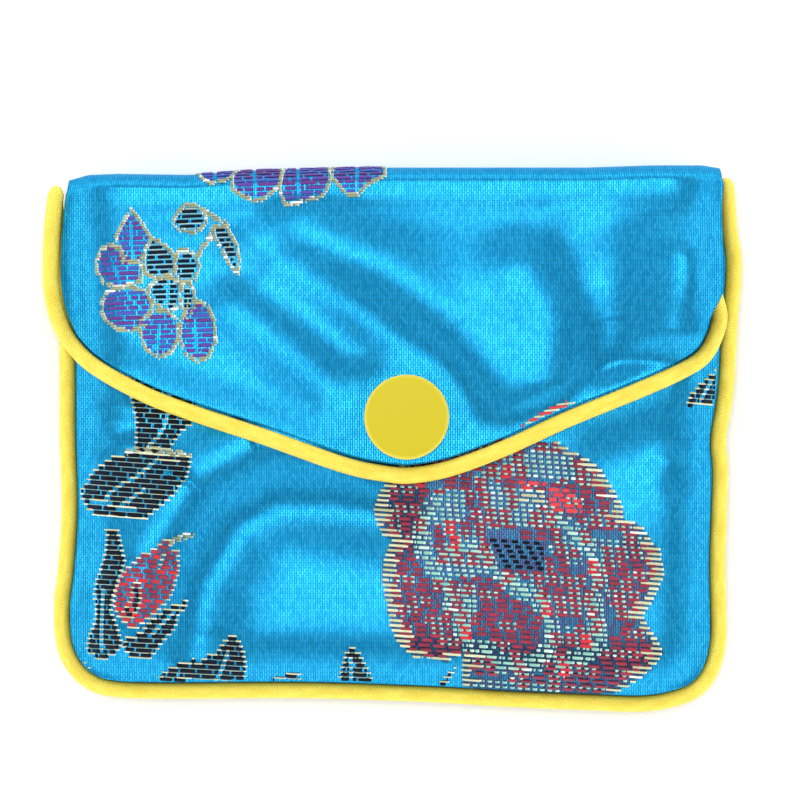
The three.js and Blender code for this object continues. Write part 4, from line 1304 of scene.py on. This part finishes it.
NAVY_GLOSS = 0.12
silks = {}
for silk_name, shades in SILKS.items():
    stops = [(place, linear(*colour)) for place, colour in shades]
    gloss = NAVY_GLOSS if silk_name == "navy" else SILK_GLOSS
    silks[silk_name] = silk_material(f"{silk_name}_silk", stops, gloss)


def peony_ground(u, v):
    return inside(np.stack([u, v], axis=-1), charted(PEONY))


def plain_ground(u, v):
    return np.zeros_like(u)


front_cloth = front_panel(satin, peony_ground)
flap_cloth_piece = back_and_flap(satin, plain_ground)
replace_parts(front_cloth, "front_panel")
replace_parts(flap_cloth_piece, "back_and_flap")

SURFACES = {"flap": flap_surface, "front": front_surface}
# floats of these silks end in a painted highlight
HIGHLIGHT_ENDED_SILKS = {"beige", "mint", "cream"}
PAINTED_HIGHLIGHT_SHADE = 1.0
for (cloth, colour), rows in floats.items():
    painted_end_highlight = PAINTED_HIGHLIGHT_SHADE if colour in HIGHLIGHT_ENDED_SILKS else 0
    name = f"{cloth}_{colour}_floats"
    piece = threads(name, rows, SURFACES[cloth], silks[colour], painted_end_highlight)

body_cord = tube("body_cord", body_cord_line(), PIPING_RADIUS, yellow)
flap_cord_piece = tube("flap_cord", flap_cord_line(), PIPING_RADIUS, yellow)
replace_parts(body_cord, "body_piping")
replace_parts(flap_cord_piece, "flap_piping")

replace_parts(round_cap(plastic), "snap_cap")
for name in ("snap_socket", "snap_stud"):
    for material_slot in nodes[name].material_slots:
        material_slot.material = plastic

# The floor, the lights and the camera, in metres.
HALF_FLOOR = 1.5
corners = [(-HALF_FLOOR, -HALF_FLOOR), (HALF_FLOOR, -HALF_FLOOR), (HALF_FLOOR, HALF_FLOOR),
           (-HALF_FLOOR, HALF_FLOOR)]
floor_mesh = bpy.data.meshes.new("floor")
floor_mesh.from_pydata([(x, y, 0) for x, y in corners], [], [(0, 1, 2, 3)])
floor = bpy.data.objects.new("floor", floor_mesh)
bpy.context.scene.collection.objects.link(floor)
pale = Nodes("pale_floor", 0.9)
pale.shader.inputs["Base Color"].default_value = linear(252, 252, 252)
floor_mesh.materials.append(pale.material)

world = bpy.data.worlds.new("studio")
bpy.context.scene.world = world
world.use_nodes = True
sky = world.node_tree
direction = sky.nodes.new("ShaderNodeTexCoord")
height = sky.nodes.new("ShaderNodeSeparateXYZ")
glow = sky.nodes.new("ShaderNodeValToRGB")
glow.color_ramp.elements[0].position = 0.35
glow.color_ramp.elements[0].color = (2.5, 2.5, 2.5, 1)
glow.color_ramp.elements[1].position = 0.86
glow.color_ramp.elements[1].color = (0.05, 0.05, 0.05, 1)
sky.links.new(direction.outputs["Generated"], height.inputs[0])
sky.links.new(height.outputs["Z"], glow.inputs["Fac"])
sky.links.new(glow.outputs["Color"], sky.nodes["Background"].inputs["Color"])


def soft_light(name, place, size, power):
    light = bpy.data.lights.new(name, "AREA")
    light.size = size
    light.energy = power
    lamp = bpy.data.objects.new(name, light)
    lamp.location = place
    lamp.rotation_euler = (-lamp.location).to_track_quat("-Z", "Y").to_euler()
    bpy.context.scene.collection.objects.link(lamp)


soft_light("key_light", (-0.05, 0.11, 1.15), 0.5, 5.6)

PICTURE_WIDTH = 0.1171
CAMERA_LENS = 300
SENSOR = 36
camera_data = bpy.data.cameras.new("camera")
camera_data.lens = CAMERA_LENS
camera_data.sensor_width = SENSOR
camera = bpy.data.objects.new("camera", camera_data)
camera.location = (0.0011, 0.0057, 0.0065 + PICTURE_WIDTH * CAMERA_LENS / SENSOR)
bpy.context.scene.collection.objects.link(camera)
bpy.context.scene.camera = camera
bpy.context.scene.view_settings.view_transform = "Standard"
